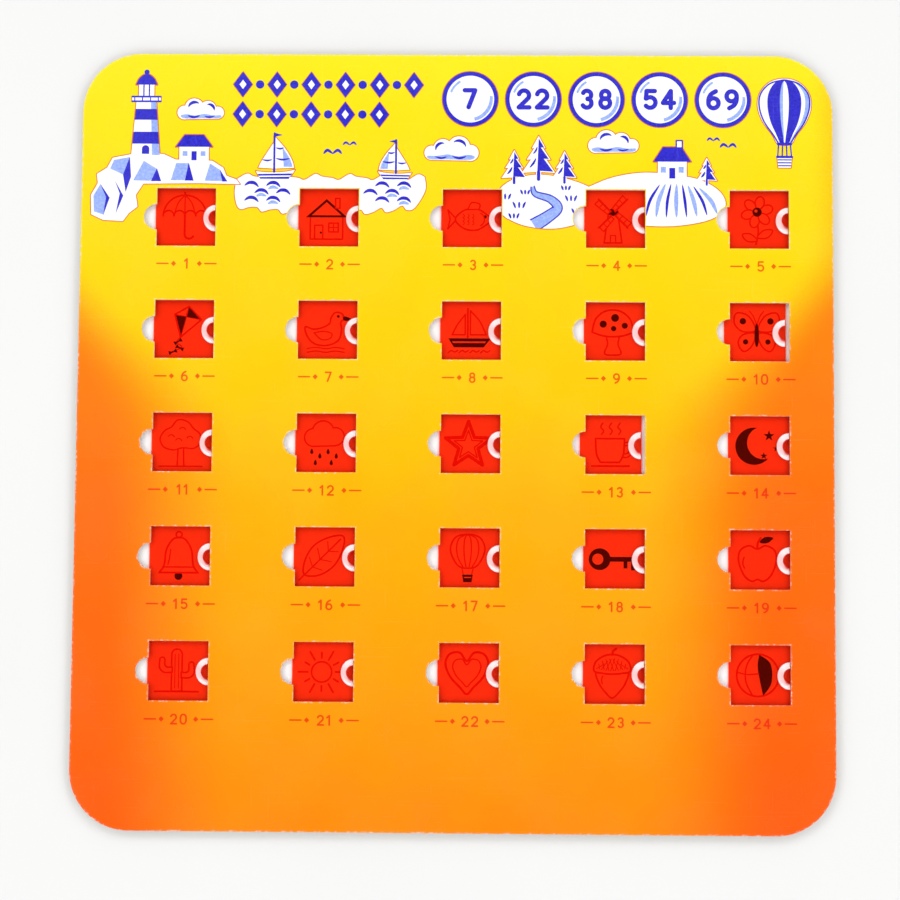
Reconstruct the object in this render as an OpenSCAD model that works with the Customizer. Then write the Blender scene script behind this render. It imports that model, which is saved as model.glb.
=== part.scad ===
// Shutter bingo card.
// A die-cut laminate of paper and chipboard that holds a five by five set of
// red plastic shutters. Each shutter lies in its own pocket under a window and
// slides sideways: closed it covers the printed picture, open it parks under
// the board to the left with its finger bump nested in the window's notch.
//
// Frame: the card lies on its back. +Z is out of the face, +Y runs to the top
// edge, +X to the right. The origin is under the middle of the card.

/* [Card] */
// Width of the card
card_w = 203.2; // [200:0.1:230]
// Height of the card
card_h = 209.6; // [195:0.1:240]
// Radius of the card's corners
corner_r = 16; // [6:0.5:20]

/* [Layers] */
// Thickness of the paper liner on the back
back_sheet_t = 0.25; // [0.2:0.05:0.5]
// Thickness of the back chipboard
back_board_t = 1.2; // [0.8:0.1:2]
// Thickness of the paper that carries the pictures
picture_sheet_t = 0.2; // [0.2:0.05:0.5]
// Thickness of the die-cut chipboard that holds the shutters
track_board_t = 0.9; // [0.8:0.05:1.5]
// Thickness of the chipboard around the windows
front_board_t = 0.9; // [0.8:0.1:1.6]
// Thickness of the printed face paper with its gloss film
face_sheet_t = 0.25; // [0.2:0.05:0.5]

/* [Windows] */
// Columns of windows
cols = 5; // [1:1:5]
// Rows of windows
rows = 5; // [1:1:5]
// Distance between window centres, left to right
pitch_x = 38.7; // [38:0.1:40]
// Distance between window centres, top to bottom
pitch_y = 30.6; // [28:0.1:32]
// Width of a window
win_w = 15.9; // [14:0.1:16]
// Height of a window
win_h = 15.8; // [14:0.1:18]
// How far the grid stands to the right of the card's middle
grid_dx = 4.35; // [3:0.05:5]
// Bare board from the card's top edge to the first row of windows
top_margin = 37; // [30:0.5:40]
// Radius of the half-round notch in a window's left edge
notch_r = 3.45; // [3.3:0.05:4]

/* [Shutters] */
// Thickness of a shutter's plate
plate_t = 0.7; // [0.5:0.05:0.75]
// Plate hidden under the board above and below the window
plate_over_y = 1.3; // [1:0.1:2]
// Plate past the window's left edge when closed
plate_over_l = 0.5; // [0.3:0.1:0.8]
// Plate past the window's right edge when closed
plate_over_r = 0.2; // [0.1:0.05:0.3]
// Radius of the plate's corners
plate_corner_r = 0.8; // [0.3:0.1:1.2]
// Radius of the finger bump where it meets the plate
bump_r = 3.2; // [2.8:0.05:3.2]
// Depth of the finger dish in the bump's top
bump_dish = 0.25; // [0.1:0.05:0.4]
// Gap between the closed bump's flat side and the window's right edge
bump_gap = 0.15; // [0.1:0.05:0.3]
// Gap between a plate and each side of its track
side_gap = 0.2; // [0.15:0.05:0.3]
// Gap at each end of the plate's track
end_gap = 0.35; // [0.3:0.05:0.5]
// Gap between a bump's top and the card's face
bump_below = 0.25; // [0.1:0.05:0.4]

/* [Hidden] */
$fn = 64;
eps = 0.01;

// Heights of the layers' undersides, back to face
z_back_board = back_sheet_t;
z_picture = z_back_board + back_board_t;
z_track = z_picture + picture_sheet_t;
z_front = z_track + track_board_t;
z_face = z_front + front_board_t;
z_top = z_face + face_sheet_t;

// The plate floats midway in its track
z_plate = z_track + (track_board_t - plate_t) / 2;
z_bump = z_plate + plate_t;
bump_h = z_top - bump_below - z_bump;

// The way from closed to fully open
travel = win_w - 0.1;

// How far some shutters stand open at rest, as loose shutters do
rest_shift = [
    [0, 0, 0, 0, 0],
    [0, 0, 0, 0, 1],
    [0, 0, 0, 1, 0],
    [0, 0, 0, 0, 0],
    [0, 0, 0, 0, 0]
];

// Pocket of a closed shutter, from the window's centre
pocket_l = -win_w / 2 - plate_over_l - travel - end_gap;
pocket_r = win_w / 2 + plate_over_r + end_gap;
pocket_h = win_h + 2 * plate_over_y + 2 * side_gap;

function col_x(c) = grid_dx + (c - (cols + 1) / 2) * pitch_x;
function row_y(r) = card_h / 2 - top_margin - win_h / 2 - (r - 1) * pitch_y;
function shutter_name(r, c) = str("shutter_r", r, "c", c);

LAYERS = ["face_sheet", "front_board", "track_board", "picture_sheet", "back_board", "back_sheet"];

// A rectangle with round corners, about its middle
module round_rect(w, h, r) {
    square([w - 2 * r, h], center = true);
    square([w, h - 2 * r], center = true);
    for (sx = [-1, 1], sy = [-1, 1])
        translate([sx * (w / 2 - r), sy * (h / 2 - r)]) circle(r = r);
}

module card_outline() {
    round_rect(card_w, card_h, corner_r);
}

// A window with the notch that the open shutter's bump parks in
module window_outline() {
    square([win_w, win_h], center = true);
    translate([-win_w / 2, 0]) circle(r = notch_r);
}

module pocket_outline() {
    translate([pocket_l, -pocket_h / 2]) square([pocket_r - pocket_l, pocket_h]);
}

module at_each_window() {
    for (r = [1:rows], c = [1:cols]) translate([col_x(c), row_y(r)]) children();
}

module plain_layer(z, t) {
    translate([0, 0, z]) linear_extrude(height = t) card_outline();
}

module window_layer(z, t) {
    translate([0, 0, z]) linear_extrude(height = t) difference() {
        card_outline();
        at_each_window() window_outline();
    }
}

// Printed and film-laminated paper on the front
module face_sheet() {
    color([1.0, 0.80, 0.0]) window_layer(z_face, face_sheet_t);
}

// Chipboard that frames the windows and holds the shutters down
module front_board() {
    color([0.62, 0.56, 0.47]) window_layer(z_front, front_board_t);
}

// Chipboard with one long pocket for each shutter
module track_board() {
    color([0.58, 0.52, 0.44])
        translate([0, 0, z_track]) linear_extrude(height = track_board_t) difference() {
            card_outline();
            at_each_window() pocket_outline();
        }
}

// White paper with the pictures, seen through the windows
module picture_sheet() {
    color([0.97, 0.97, 0.95]) plain_layer(z_picture, picture_sheet_t);
}

// Chipboard that stiffens the card
module back_board() {
    color([0.60, 0.54, 0.45]) plain_layer(z_back_board, back_board_t);
}

// Paper liner that the card lies on
module back_sheet() {
    color([0.93, 0.92, 0.88]) plain_layer(0, back_sheet_t);
}

// Half-round finger bump: a wide sloped rim, a rounded crown and a dished top.
// Its flat side is at x = 0 and it reaches to -bump_r.
module finger_bump() {
    crown_r = bump_r * 0.55;
    rotate([0, 0, 90]) rotate_extrude(angle = 180)
        polygon([
            [0, -eps],
            [bump_r, -eps],
            [bump_r, 0.08 * bump_h],
            [bump_r * 0.97, 0.14 * bump_h],
            [bump_r * 0.65, 0.88 * bump_h],
            [bump_r * 0.60, 0.97 * bump_h],
            [crown_r, bump_h],
            [crown_r * 0.85, bump_h - 0.12 * bump_dish],
            [crown_r * 0.50, bump_h - 0.70 * bump_dish],
            [0, bump_h - bump_dish]
        ]);
}

// One shutter in its place at rest
module shutter(r, c) {
    plate_w = win_w + plate_over_l + plate_over_r;
    plate_h = win_h + 2 * plate_over_y;
    color([1.0, 0.13, 0.05])
        translate([col_x(c) - rest_shift[r - 1][c - 1], row_y(r), 0]) {
            translate([(plate_over_r - plate_over_l) / 2, 0, z_plate])
                linear_extrude(height = plate_t) round_rect(plate_w, plate_h, plate_corner_r);
            translate([win_w / 2 - bump_gap, 0, z_bump]) finger_bump();
        }
}

face_sheet();
front_board();
track_board();
picture_sheet();
back_board();
back_sheet();
for (r = [1:rows], c = [1:cols])
    shutter(r, c);
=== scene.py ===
import math

import bpy
import numpy as np
from mathutils import Matrix, Vector
from mathutils.geometry import delaunay_2d_cdt


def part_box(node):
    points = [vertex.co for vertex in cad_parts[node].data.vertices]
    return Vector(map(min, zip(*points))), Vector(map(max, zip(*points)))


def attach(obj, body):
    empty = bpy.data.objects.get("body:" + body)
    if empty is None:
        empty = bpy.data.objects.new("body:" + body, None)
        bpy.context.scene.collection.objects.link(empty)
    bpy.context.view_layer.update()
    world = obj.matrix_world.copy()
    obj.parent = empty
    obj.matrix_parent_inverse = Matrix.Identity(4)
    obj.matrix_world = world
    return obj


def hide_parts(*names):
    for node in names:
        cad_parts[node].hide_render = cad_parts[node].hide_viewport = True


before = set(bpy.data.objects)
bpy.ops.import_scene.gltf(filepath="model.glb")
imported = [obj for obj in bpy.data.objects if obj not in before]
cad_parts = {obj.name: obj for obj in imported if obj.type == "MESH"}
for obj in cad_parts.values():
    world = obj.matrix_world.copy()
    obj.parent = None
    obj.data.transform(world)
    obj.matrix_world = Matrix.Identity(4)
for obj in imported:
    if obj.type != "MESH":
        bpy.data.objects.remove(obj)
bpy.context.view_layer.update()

MM = 0.001

# ---------------------------------------------------------------- layout, in mm
CARD_W, CARD_H, CORNER_R = 203.2, 209.6, 16.0
PITCH_X, PITCH_Y = 38.7, 30.6
WIN_W, WIN_H, NOTCH_R = 15.9, 15.8, 3.45
GRID_DX, TOP_MARGIN = 4.35, 37.0
PLATE_L, PLATE_R, PLATE_H = -8.45, 8.15, 18.4
BUMP_X, BUMP_R = 7.8, 3.2


def levels(node):
    lo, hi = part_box(node)
    return lo.z / MM, hi.z / MM


Z_FACE0, Z_FACE1 = levels("face_sheet")
Z_FRONT0, Z_FRONT1 = levels("front_board")
Z_PICT0, Z_PICT1 = levels("picture_sheet")
Z_BUMP = levels("shutter_r1c1")[1]


def col_x(c):
    return GRID_DX + (c - 3) * PITCH_X


def row_y(r):
    return CARD_H / 2 - TOP_MARGIN - WIN_H / 2 - (r - 1) * PITCH_Y


CELLS = [(r, c) for r in range(1, 6) for c in range(1, 6)]


# ---------------------------------------------------------------- plane geometry
def arc(cx, cy, r, a0, a1, n=None):
    """Points on an arc, angles in degrees, both ends included."""
    if n is None:
        n = max(4, int(abs(a1 - a0) / 360 * max(20, 26 * math.sqrt(r))))
    return [
        (cx + r * math.cos(math.radians(a0 + (a1 - a0) * i / n)), cy + r * math.sin(math.radians(a0 + (a1 - a0) * i / n)))
        for i in range(n + 1)
    ]


def circle(cx, cy, r, n=None):
    return arc(cx, cy, r, 0, 360, n)[:-1]


def ellipse(cx, cy, rx, ry, turn=0.0, n=40):
    c, s = math.cos(math.radians(turn)), math.sin(math.radians(turn))
    out = []
    for i in range(n):
        a = 2 * math.pi * i / n
        x, y = rx * math.cos(a), ry * math.sin(a)
        out.append((cx + x * c - y * s, cy + x * s + y * c))
    return out


def spline(points, closed=True, n=7):
    """A smooth line through the points (Catmull-Rom)."""
    p = [np.array(q, float) for q in points]
    m = len(p)
    out = []
    for i in range(m if closed else m - 1):
        if closed:
            a, b, c, d = p[i - 1], p[i], p[(i + 1) % m], p[(i + 2) % m]
        else:
            a, b, c, d = p[max(i - 1, 0)], p[i], p[i + 1], p[min(i + 2, m - 1)]
        for k in range(n):
            t = k / n
            q = 0.5 * (2 * b + (c - a) * t + (2 * a - 5 * b + 4 * c - d) * t * t + (3 * b - a - 3 * c + d) * t ** 3)
            out.append((q[0], q[1]))
    if not closed:
        out.append(tuple(p[-1]))
    return out


def place(points, dx=0.0, dy=0.0, s=1.0, turn=0.0, flip=False):
    c, k = math.cos(math.radians(turn)), math.sin(math.radians(turn))
    out = []
    for x, y in points:
        if flip:
            x = -x
        out.append((dx + s * (x * c - y * k), dy + s * (x * k + y * c)))
    return out[::-1] if flip else out


def signed_area(p):
    a = np.array(p)
    x, y = a[:, 0], a[:, 1]
    return 0.5 * float(np.sum(x * np.roll(y, -1) - np.roll(x, -1) * y))


def clean(p, closed=True, tol=2e-3):
    out = []
    for q in p:
        if not out or math.hypot(q[0] - out[-1][0], q[1] - out[-1][1]) > tol:
            out.append((float(q[0]), float(q[1])))
    if closed and len(out) > 1 and math.hypot(out[0][0] - out[-1][0], out[0][1] - out[-1][1]) <= tol:
        out.pop()
    return out


def ccw(p):
    p = clean(p)
    return p if signed_area(p) > 0 else p[::-1]


def grow(loop, d):
    """A counter-clockwise loop moved outwards by d at each vertex, with mitred corners."""
    p = np.array(loop, float)
    e = np.roll(p, -1, 0) - p
    e /= np.linalg.norm(e, axis=1)[:, None]
    normal = np.stack([e[:, 1], -e[:, 0]], 1)
    before = np.roll(normal, 1, 0)
    mid = normal + before
    mid /= np.maximum(np.linalg.norm(mid, axis=1), 1e-9)[:, None]
    stretch = 1.0 / np.maximum(np.sum(mid * normal, 1), 0.35)
    return [tuple(q) for q in p + mid * (d * stretch)[:, None]]


def ribbon(path, w):
    """A band of width w along a smooth open path, with round ends, as one polygon."""
    p = np.array(clean(path, closed=False), float)
    t = np.gradient(p, axis=0)
    t /= np.maximum(np.linalg.norm(t, axis=1), 1e-9)[:, None]
    nrm = np.stack([-t[:, 1], t[:, 0]], 1)
    h = w / 2
    left, right = p + nrm * h, p - nrm * h

    def cap(q, way):
        a = math.degrees(math.atan2(way[1], way[0]))
        return arc(q[0], q[1], h, a - 90, a + 90, 8)[1:-1]

    return (
        [tuple(q) for q in right]
        + cap(p[-1], t[-1])
        + [tuple(q) for q in left[::-1]]
        + cap(p[0], -t[0])
    )


def stroke(path, w, closed=False, corner=28.0):
    """A drawn line as polygons: one band for each smooth stretch, met at the corners."""
    p = clean(path, closed=closed)
    if closed:
        p = p + [p[0]]
    if len(p) < 2:
        return []
    a = np.array(p)
    d = np.diff(a, axis=0)
    turn = np.degrees(np.arctan2(d[:, 1], d[:, 0]))
    bends = [
        i
        for i in range(1, len(p) - 1)
        if abs((turn[i] - turn[i - 1] + 180) % 360 - 180) > corner
    ]
    cuts = [0] + bends + [len(p) - 1]
    out = []
    for i, j in zip(cuts[:-1], cuts[1:]):
        part = p[i : j + 1]
        if len(part) > 24 or (closed and not bends):
            k = max(2, math.ceil(len(part) / 16))
            ends = [round(m * (len(part) - 1) / k) for m in range(k + 1)]
            for u, v in zip(ends[:-1], ends[1:]):
                out.append(ribbon(part[u : v + 1], w))
        else:
            out.append(ribbon(part, w))
    return out


def overlay(items):
    """items are (ink, polygon), each on top of those before it. Gives the corners and, for each ink, its triangles.
    Ink None is bare sheet."""
    corners, faces = [], []
    for _, poly in items:
        q = ccw(poly)
        k = len(corners)
        corners += [Vector(v) for v in q]
        faces.append(list(range(k, k + len(q))))
    v, _, f, _, _, origin = delaunay_2d_cdt(corners, [], faces, 1, 1e-4)
    found = {}
    for tri, over in zip(f, origin):
        if not over:
            continue
        ink = items[max(over)][0]
        if ink is not None:
            found.setdefault(ink, []).append(tuple(tri))
    return [(x[0], x[1]) for x in v], found


def slab(corners, tris, z0, z1):
    """A closed thin solid of the triangles' shape between two heights. A corner where two regions only touch is split."""
    good = []
    for t in tris:
        (ax, ay), (bx, by), (cx, cy) = (corners[i] for i in t)
        s = (bx - ax) * (cy - ay) - (by - ay) * (cx - ax)
        good.append(t if s >= 0 else (t[0], t[2], t[1]))
    sides = {}
    for k, t in enumerate(good):
        for i in range(3):
            a, b = t[i], t[(i + 1) % 3]
            sides.setdefault((min(a, b), max(a, b)), []).append(k)
    at = {}
    for k, t in enumerate(good):
        for i in t:
            at.setdefault(i, []).append(k)
    verts, new = [], {}
    for i, around in at.items():
        left = set(around)
        while left:
            group, todo = set(), [left.pop()]
            while todo:
                k = todo.pop()
                group.add(k)
                for j in good[k]:
                    if j != i:
                        near = sides[(min(i, j), max(i, j))]
                        if len(near) == 2:
                            for m in near:
                                if m in left:
                                    left.discard(m)
                                    todo.append(m)
            for k in group:
                new[(k, i)] = len(verts)
            verts.append(corners[i])
    n = len(verts)
    faces = []
    for k, t in enumerate(good):
        a, b, c = (new[(k, i)] for i in t)
        faces.append((a, b, c))
        faces.append((n + a, n + c, n + b))
        for i in range(3):
            p, q = t[i], t[(i + 1) % 3]
            if len(sides[(min(p, q), max(p, q))]) != 2:
                u, v = new[(k, p)], new[(k, q)]
                faces.append((n + u, n + v, v, u))
    top = [(x, y, z1) for x, y in verts]
    low = [(x, y, z0) for x, y in verts]
    return top + low, faces


class Heap:
    """Several closed solids that go into one mesh."""

    def __init__(self):
        self.verts, self.faces = [], []

    def add(self, verts, faces):
        k = len(self.verts)
        self.verts += verts
        self.faces += [tuple(i + k for i in f) for f in faces]


def make_object(name, verts, faces, material, smooth=None, marks=None):
    """A mesh object from points in mm. smooth is the angle, in degrees, below which an edge is shaded smooth."""
    me = bpy.data.meshes.new(name)
    me.from_pydata([(x * MM, y * MM, z * MM) for x, y, z in verts], [], faces)
    me.validate()
    for mark, values in (marks or {}).items():
        a = me.attributes.new(mark, "FLOAT", "POINT")
        a.data.foreach_set("value", np.array(values, np.float32))
    if smooth is not None:
        me.polygons.foreach_set("use_smooth", [True] * len(me.polygons))
        me.set_sharp_from_angle(angle=math.radians(smooth))
    me.materials.append(material)
    me.update()
    o = bpy.data.objects.new(name, me)
    bpy.context.scene.collection.objects.link(o)
    return o


# ---------------------------------------------------------------- materials
def linear(rgb):
    """A display colour, 0 to 255, as the scene-linear values that the shaders take."""
    out = []
    for v in rgb:
        v /= 255
        out.append(v / 12.92 if v <= 0.04045 else ((v + 0.055) / 1.055) ** 2.4)
    return (*out, 1.0)


class Tree:
    """A material's nodes, made and linked in short calls."""

    def __init__(self, name):
        self.mat = bpy.data.materials.new(name)
        self.mat.use_nodes = True
        self.nt = self.mat.node_tree
        self.nt.nodes.clear()
        self.out = self.nt.nodes.new("ShaderNodeOutputMaterial")
        where = self.nt.nodes.new("ShaderNodeTexCoord")
        scale = self.node("ShaderNodeVectorMath", operation="SCALE")
        scale.inputs["Scale"].default_value = 1000.0
        self.link(where.outputs["Object"], scale.inputs[0])
        self.mm = scale.outputs[0]

    def node(self, kind, **settings):
        n = self.nt.nodes.new(kind)
        for k, v in settings.items():
            setattr(n, k, v)
        return n

    def link(self, a, b):
        self.nt.links.new(a, b)

    def put(self, socket, value):
        if isinstance(value, bpy.types.NodeSocket):
            self.link(value, socket)
        else:
            socket.default_value = value

    def math(self, operation, a, b=0.0, clamp=False):
        n = self.node("ShaderNodeMath", operation=operation, use_clamp=clamp)
        self.put(n.inputs[0], a)
        self.put(n.inputs[1], b)
        return n.outputs[0]

    def stretch(self, by, shift=(0, 0, 0)):
        n = self.node("ShaderNodeMapping")
        n.inputs["Scale"].default_value = by
        n.inputs["Location"].default_value = shift
        self.link(self.mm, n.inputs["Vector"])
        return n.outputs[0]

    def noise(self, scale, detail=3.0, rough=0.5, vector=None, distortion=0.0):
        n = self.node("ShaderNodeTexNoise")
        n.inputs["Scale"].default_value = scale
        n.inputs["Detail"].default_value = detail
        n.inputs["Roughness"].default_value = rough
        n.inputs["Distortion"].default_value = distortion
        self.link(vector or self.mm, n.inputs["Vector"])
        return n.outputs["Fac"]

    def cells(self, scale, feature="F1", vector=None, output="Distance"):
        n = self.node("ShaderNodeTexVoronoi", feature=feature)
        n.inputs["Scale"].default_value = scale
        self.link(vector or self.mm, n.inputs["Vector"])
        return n.outputs[output]

    def span(self, value, a, b, c=0.0, d=1.0, kind="SMOOTHSTEP"):
        n = self.node("ShaderNodeMapRange", interpolation_type=kind)
        self.put(n.inputs["Value"], value)
        for k, v in zip(("From Min", "From Max", "To Min", "To Max"), (a, b, c, d)):
            n.inputs[k].default_value = v
        return n.outputs["Result"]

    def ramp(self, value, stops):
        n = self.node("ShaderNodeValToRGB")
        e = n.color_ramp.elements
        while len(e) < len(stops):
            e.new(0.5)
        for k, (at, colour) in zip(e, stops):
            k.position = at
            k.color = colour
        self.put(n.inputs["Fac"], value)
        return n.outputs["Color"]

    def mix(self, share, a, b, blend="MIX"):
        n = self.node("ShaderNodeMix", data_type="RGBA", blend_type=blend)
        # its colour sockets come after the float and vector pairs
        for k, v in ((0, share), (6, a), (7, b)):
            self.put(n.inputs[k], v)
        return n.outputs[2]

    def mark(self, name):
        n = self.node("ShaderNodeAttribute", attribute_name=name)
        return n.outputs["Fac"]

    def bump(self, height, distance, strength=1.0, normal=None):
        n = self.node("ShaderNodeBump")
        n.inputs["Strength"].default_value = strength
        n.inputs["Distance"].default_value = distance * MM
        self.link(height, n.inputs["Height"])
        if normal is not None:
            self.link(normal, n.inputs["Normal"])
        return n.outputs["Normal"]

    def split(self):
        n = self.node("ShaderNodeSeparateXYZ")
        self.link(self.mm, n.inputs[0])
        return n.outputs

    def shade(self, colour, rough, normal=None, **more):
        p = self.node("ShaderNodeBsdfPrincipled")
        self.put(p.inputs["Base Color"], colour)
        self.put(p.inputs["Roughness"], rough)
        if normal is not None:
            self.link(normal, p.inputs["Normal"])
        for k, v in more.items():
            p.inputs[k].default_value = v
        return p.outputs[0]

    def done(self, shader):
        self.link(shader, self.out.inputs["Surface"])
        return self.mat


def film(t):
    """Roughness and normal of gloss film on paper on board: a soft ripple, a fine grain and light scuffs."""
    ripple = t.noise(0.22, 2.0)
    grain = t.noise(3.2, 2.0, 0.6)
    scuffs = t.span(t.noise(1.0, 6.0, 0.7, t.stretch((0.05, 1.6, 1.0), (3.0, 7.0, 0.0))), 0.58, 0.72)
    scuffs2 = t.span(t.noise(1.0, 6.0, 0.7, t.stretch((1.3, 0.06, 1.0), (11.0, 2.0, 0.0))), 0.60, 0.74)
    rough = t.math("ADD", t.span(t.noise(0.05, 3.0), 0.3, 0.7, 0.22, 0.30), t.math("MULTIPLY", t.math("ADD", scuffs, scuffs2), 0.10))
    height = t.math("ADD", t.math("MULTIPLY", ripple, 0.75), t.math("MULTIPLY", grain, 0.08))
    return rough, t.bump(height, 0.03)


def sunset(t):
    """The print's colour: yellow at the top to orange, which comes in from the sides, further down the card from further in."""
    x, y, z = t.split()
    speck = t.noise(2.6, 4.0, 0.65)
    drift = t.noise(0.07, 3.0)
    down = t.math("DIVIDE", t.math("SUBTRACT", CARD_H / 2, y), CARD_H)
    down = t.math("ADD", down, t.span(drift, 0.3, 0.7, -0.015, 0.015))
    yellow = t.ramp(down, [
        (0.0, linear((250, 229, 2))),
        (0.45, linear((250, 196, 1))),
        (0.60, linear((250, 173, 1))),
        (1.0, linear((250, 134, 3))),
    ])
    orange = t.ramp(down, [
        (0.30, linear((250, 130, 1))),
        (0.60, linear((250, 106, 4))),
        (1.0, linear((250, 90, 5))),
    ])
    aside = t.math("ABSOLUTE", t.math("ADD", x, 4.0))
    aside = t.math("ADD", aside, t.span(speck, 0.25, 0.75, -1.2, 1.2))
    line = t.span(y, -2.0, 57.0, 71.0, 108.0)
    width = t.span(y, 0.0, 45.0, 40.0, 20.0)
    share = t.math("ADD", t.math("DIVIDE", t.math("SUBTRACT", aside, line), width), 0.5)
    colour = t.mix(t.span(share, 0.0, 1.0), yellow, orange)
    # the finest print screen shows as a faint mottle
    return t.mix(t.span(speck, 0.45, 0.8, 0.0, 0.06), colour, linear((252, 152, 0)))


def printed_face():
    t = Tree("printed_film")
    x, y, z = t.split()
    colour = sunset(t)
    # bare paper where the film is rubbed along the cut edges, and on the cut itself
    edge = t.mark("edge_mm")
    rubbed = t.math("MULTIPLY", t.span(edge, 0.05, 0.55, 1.0, 0.0), t.span(t.noise(0.9, 5.0, 0.7), 0.50, 0.62))
    cut = t.span(z, Z_FACE1 - 0.16, Z_FACE1 - 0.08, 1.0, 0.0)
    paper = t.ramp(t.noise(5.0, 4.0), [(0.3, linear((226, 220, 206))), (0.7, linear((246, 243, 236)))])
    worn = t.math("MAXIMUM", t.math("MULTIPLY", rubbed, 0.55), cut)
    colour = t.mix(worn, colour, paper)
    rough, normal = film(t)
    rough = t.math("ADD", rough, t.math("MULTIPLY", worn, 0.4), clamp=True)
    return t.done(t.shade(colour, rough, normal, **{"Specular IOR Level": 0.32}))


def ink(name, low, high, gloss=True):
    t = Tree(name)
    blot = t.noise(1.7, 5.0, 0.6)
    colour = t.ramp(blot, [(0.32, linear(low)), (0.68, linear(high))])
    if gloss:
        rough, normal = film(t)
    else:
        rough, normal = t.span(blot, 0.2, 0.8, 0.35, 0.55), t.bump(t.noise(6.0, 3.0), 0.01)
    return t.done(t.shade(colour, rough, normal, **{"Specular IOR Level": 0.5}))


def caption_ink():
    """Red line work printed over the gradient, which shows through it."""
    t = Tree("ink_caption")
    colour = t.mix(1.0, sunset(t), (0.84, 0.22, 0.8, 1.0), blend="MULTIPLY")
    colour = t.mix(t.span(t.noise(1.7, 5.0, 0.6), 0.35, 0.7, 0.0, 0.18), colour, linear((214, 62, 6)))
    rough, normal = film(t)
    return t.done(t.shade(colour, rough, normal, **{"Specular IOR Level": 0.32}))


def chipboard(name, tone=(1.0, 1.0, 1.0), bleach=0.0):
    """Pressed waste paper: fibres that lie flat, so a cut edge shows them as short level strokes."""
    t = Tree(name)
    fibre = t.noise(1.0, 6.0, 0.68, t.stretch((0.9, 0.9, 7.0)))
    strand = t.noise(1.0, 3.0, 0.6, t.stretch((0.35, 2.6, 9.0), (1.0, 5.0, 2.0)))
    fleck = t.span(t.cells(0.85), 0.03, 0.13, 1.0, 0.0)
    pale = t.span(t.cells(1.3, vector=t.stretch((1.0, 0.5, 3.0), (4.0, 9.0, 1.0))), 0.02, 0.12, 1.0, 0.0)

    def toned(rgb):
        return linear([v * k + (248 - v * k) * bleach for v, k in zip(rgb, tone)])

    colour = t.ramp(fibre, [(0.25, toned((126, 110, 90))), (0.5, toned((163, 146, 122))), (0.75, toned((188, 173, 150)))])
    colour = t.mix(t.span(strand, 0.5, 0.75, 0.0, 0.55), colour, toned((205, 192, 170)))
    colour = t.mix(t.math("MULTIPLY", fleck, 0.6), colour, toned((82, 74, 66)))
    colour = t.mix(t.math("MULTIPLY", pale, 0.7), colour, toned((226, 219, 205)))
    height = t.math("ADD", fibre, t.math("MULTIPLY", strand, 0.8))
    return t.done(t.shade(colour, t.span(fibre, 0.2, 0.8, 0.95, 0.78), t.bump(height, 0.12), **{"Specular IOR Level": 0.25}))


def paper(name, low, high, flecks=0.0, rough=(0.45, 0.6)):
    t = Tree(name)
    cloud = t.noise(0.25, 4.0, 0.6)
    fibre = t.noise(1.0, 5.0, 0.65, t.stretch((5.0, 1.4, 3.0)))
    colour = t.ramp(t.math("ADD", t.math("MULTIPLY", cloud, 0.6), t.math("MULTIPLY", fibre, 0.4)), [(0.35, linear(low)), (0.65, linear(high))])
    if flecks:
        dots = t.span(t.cells(0.55, vector=t.stretch((1.0, 0.35, 1.0))), 0.02, 0.06, flecks, 0.0)
        colour = t.mix(dots, colour, linear((150, 132, 108)))
        # the rubbed edge is darker and broken
        rub = t.math("MULTIPLY", t.span(t.mark("edge_mm"), 0.1, 1.8, 1.0, 0.0), t.span(t.noise(0.6, 5.0, 0.7), 0.42, 0.62))
        colour = t.mix(t.math("MULTIPLY", rub, 0.5), colour, linear((168, 150, 124)))
    return t.done(t.shade(colour, t.span(fibre, 0.3, 0.7, *rough), t.bump(fibre, 0.02), **{"Specular IOR Level": 0.3}))


def shutter_plastic():
    """Clear red moulding: most light goes through it, tinted. The band round the bump carries a painted highlight, pale
    pink and whitest at its two ends.
    """
    t = Tree("red_plastic")
    # rim is the painted highlight on the bump's sloped band, carried from the mesh
    rim = t.mark("rim")
    scratch = t.span(t.noise(1.0, 6.0, 0.7, t.stretch((0.10, 5.0, 1.0), (2.0, 1.0, 0.0))), 0.60, 0.72)
    body = t.ramp(t.noise(0.5, 3.0), [(0.3, linear((246, 26, 10))), (0.7, linear((254, 34, 14)))])
    # painted highlight: the band turns pale pink, and near white where it is strongest, at its two ends
    body = t.mix(t.span(rim, 0.0, 0.7), body, linear((255, 214, 214)))
    body = t.mix(t.span(rim, 0.72, 1.0, kind="LINEAR"), body, linear((255, 250, 250)))
    rough = t.math("ADD", t.span(t.noise(1.4, 4.0), 0.3, 0.7, 0.10, 0.18), t.math("MULTIPLY", scratch, 0.12))
    height = t.math("ADD", t.math("MULTIPLY", t.noise(0.35, 1.0), 0.5), t.math("MULTIPLY", scratch, -0.12))
    solid = t.shade(body, rough, t.bump(height, 0.02), **{"Specular IOR Level": 0.5})
    clear = t.node("ShaderNodeBsdfTransparent")
    clear.inputs["Color"].default_value = linear((255, 176, 144))
    mirror = t.node("ShaderNodeFresnel")
    mirror.inputs["IOR"].default_value = 1.5
    # where the painted highlight lies, more of the solid pale surface shows and less light goes through
    share = t.math("ADD", 0.02, t.math("ADD", t.math("MULTIPLY", t.span(rim, 0.0, 0.7), 0.88), t.math("MULTIPLY", mirror.outputs[0], 0.6)), clamp=True)
    # the face towards the picture only lets light through
    share = t.math("MULTIPLY", share, t.mark("outside"))
    both = t.node("ShaderNodeMixShader")
    t.put(both.inputs["Fac"], share)
    t.link(clear.outputs[0], both.inputs[1])
    t.link(solid, both.inputs[2])
    return t.done(both.outputs[0])


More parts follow.
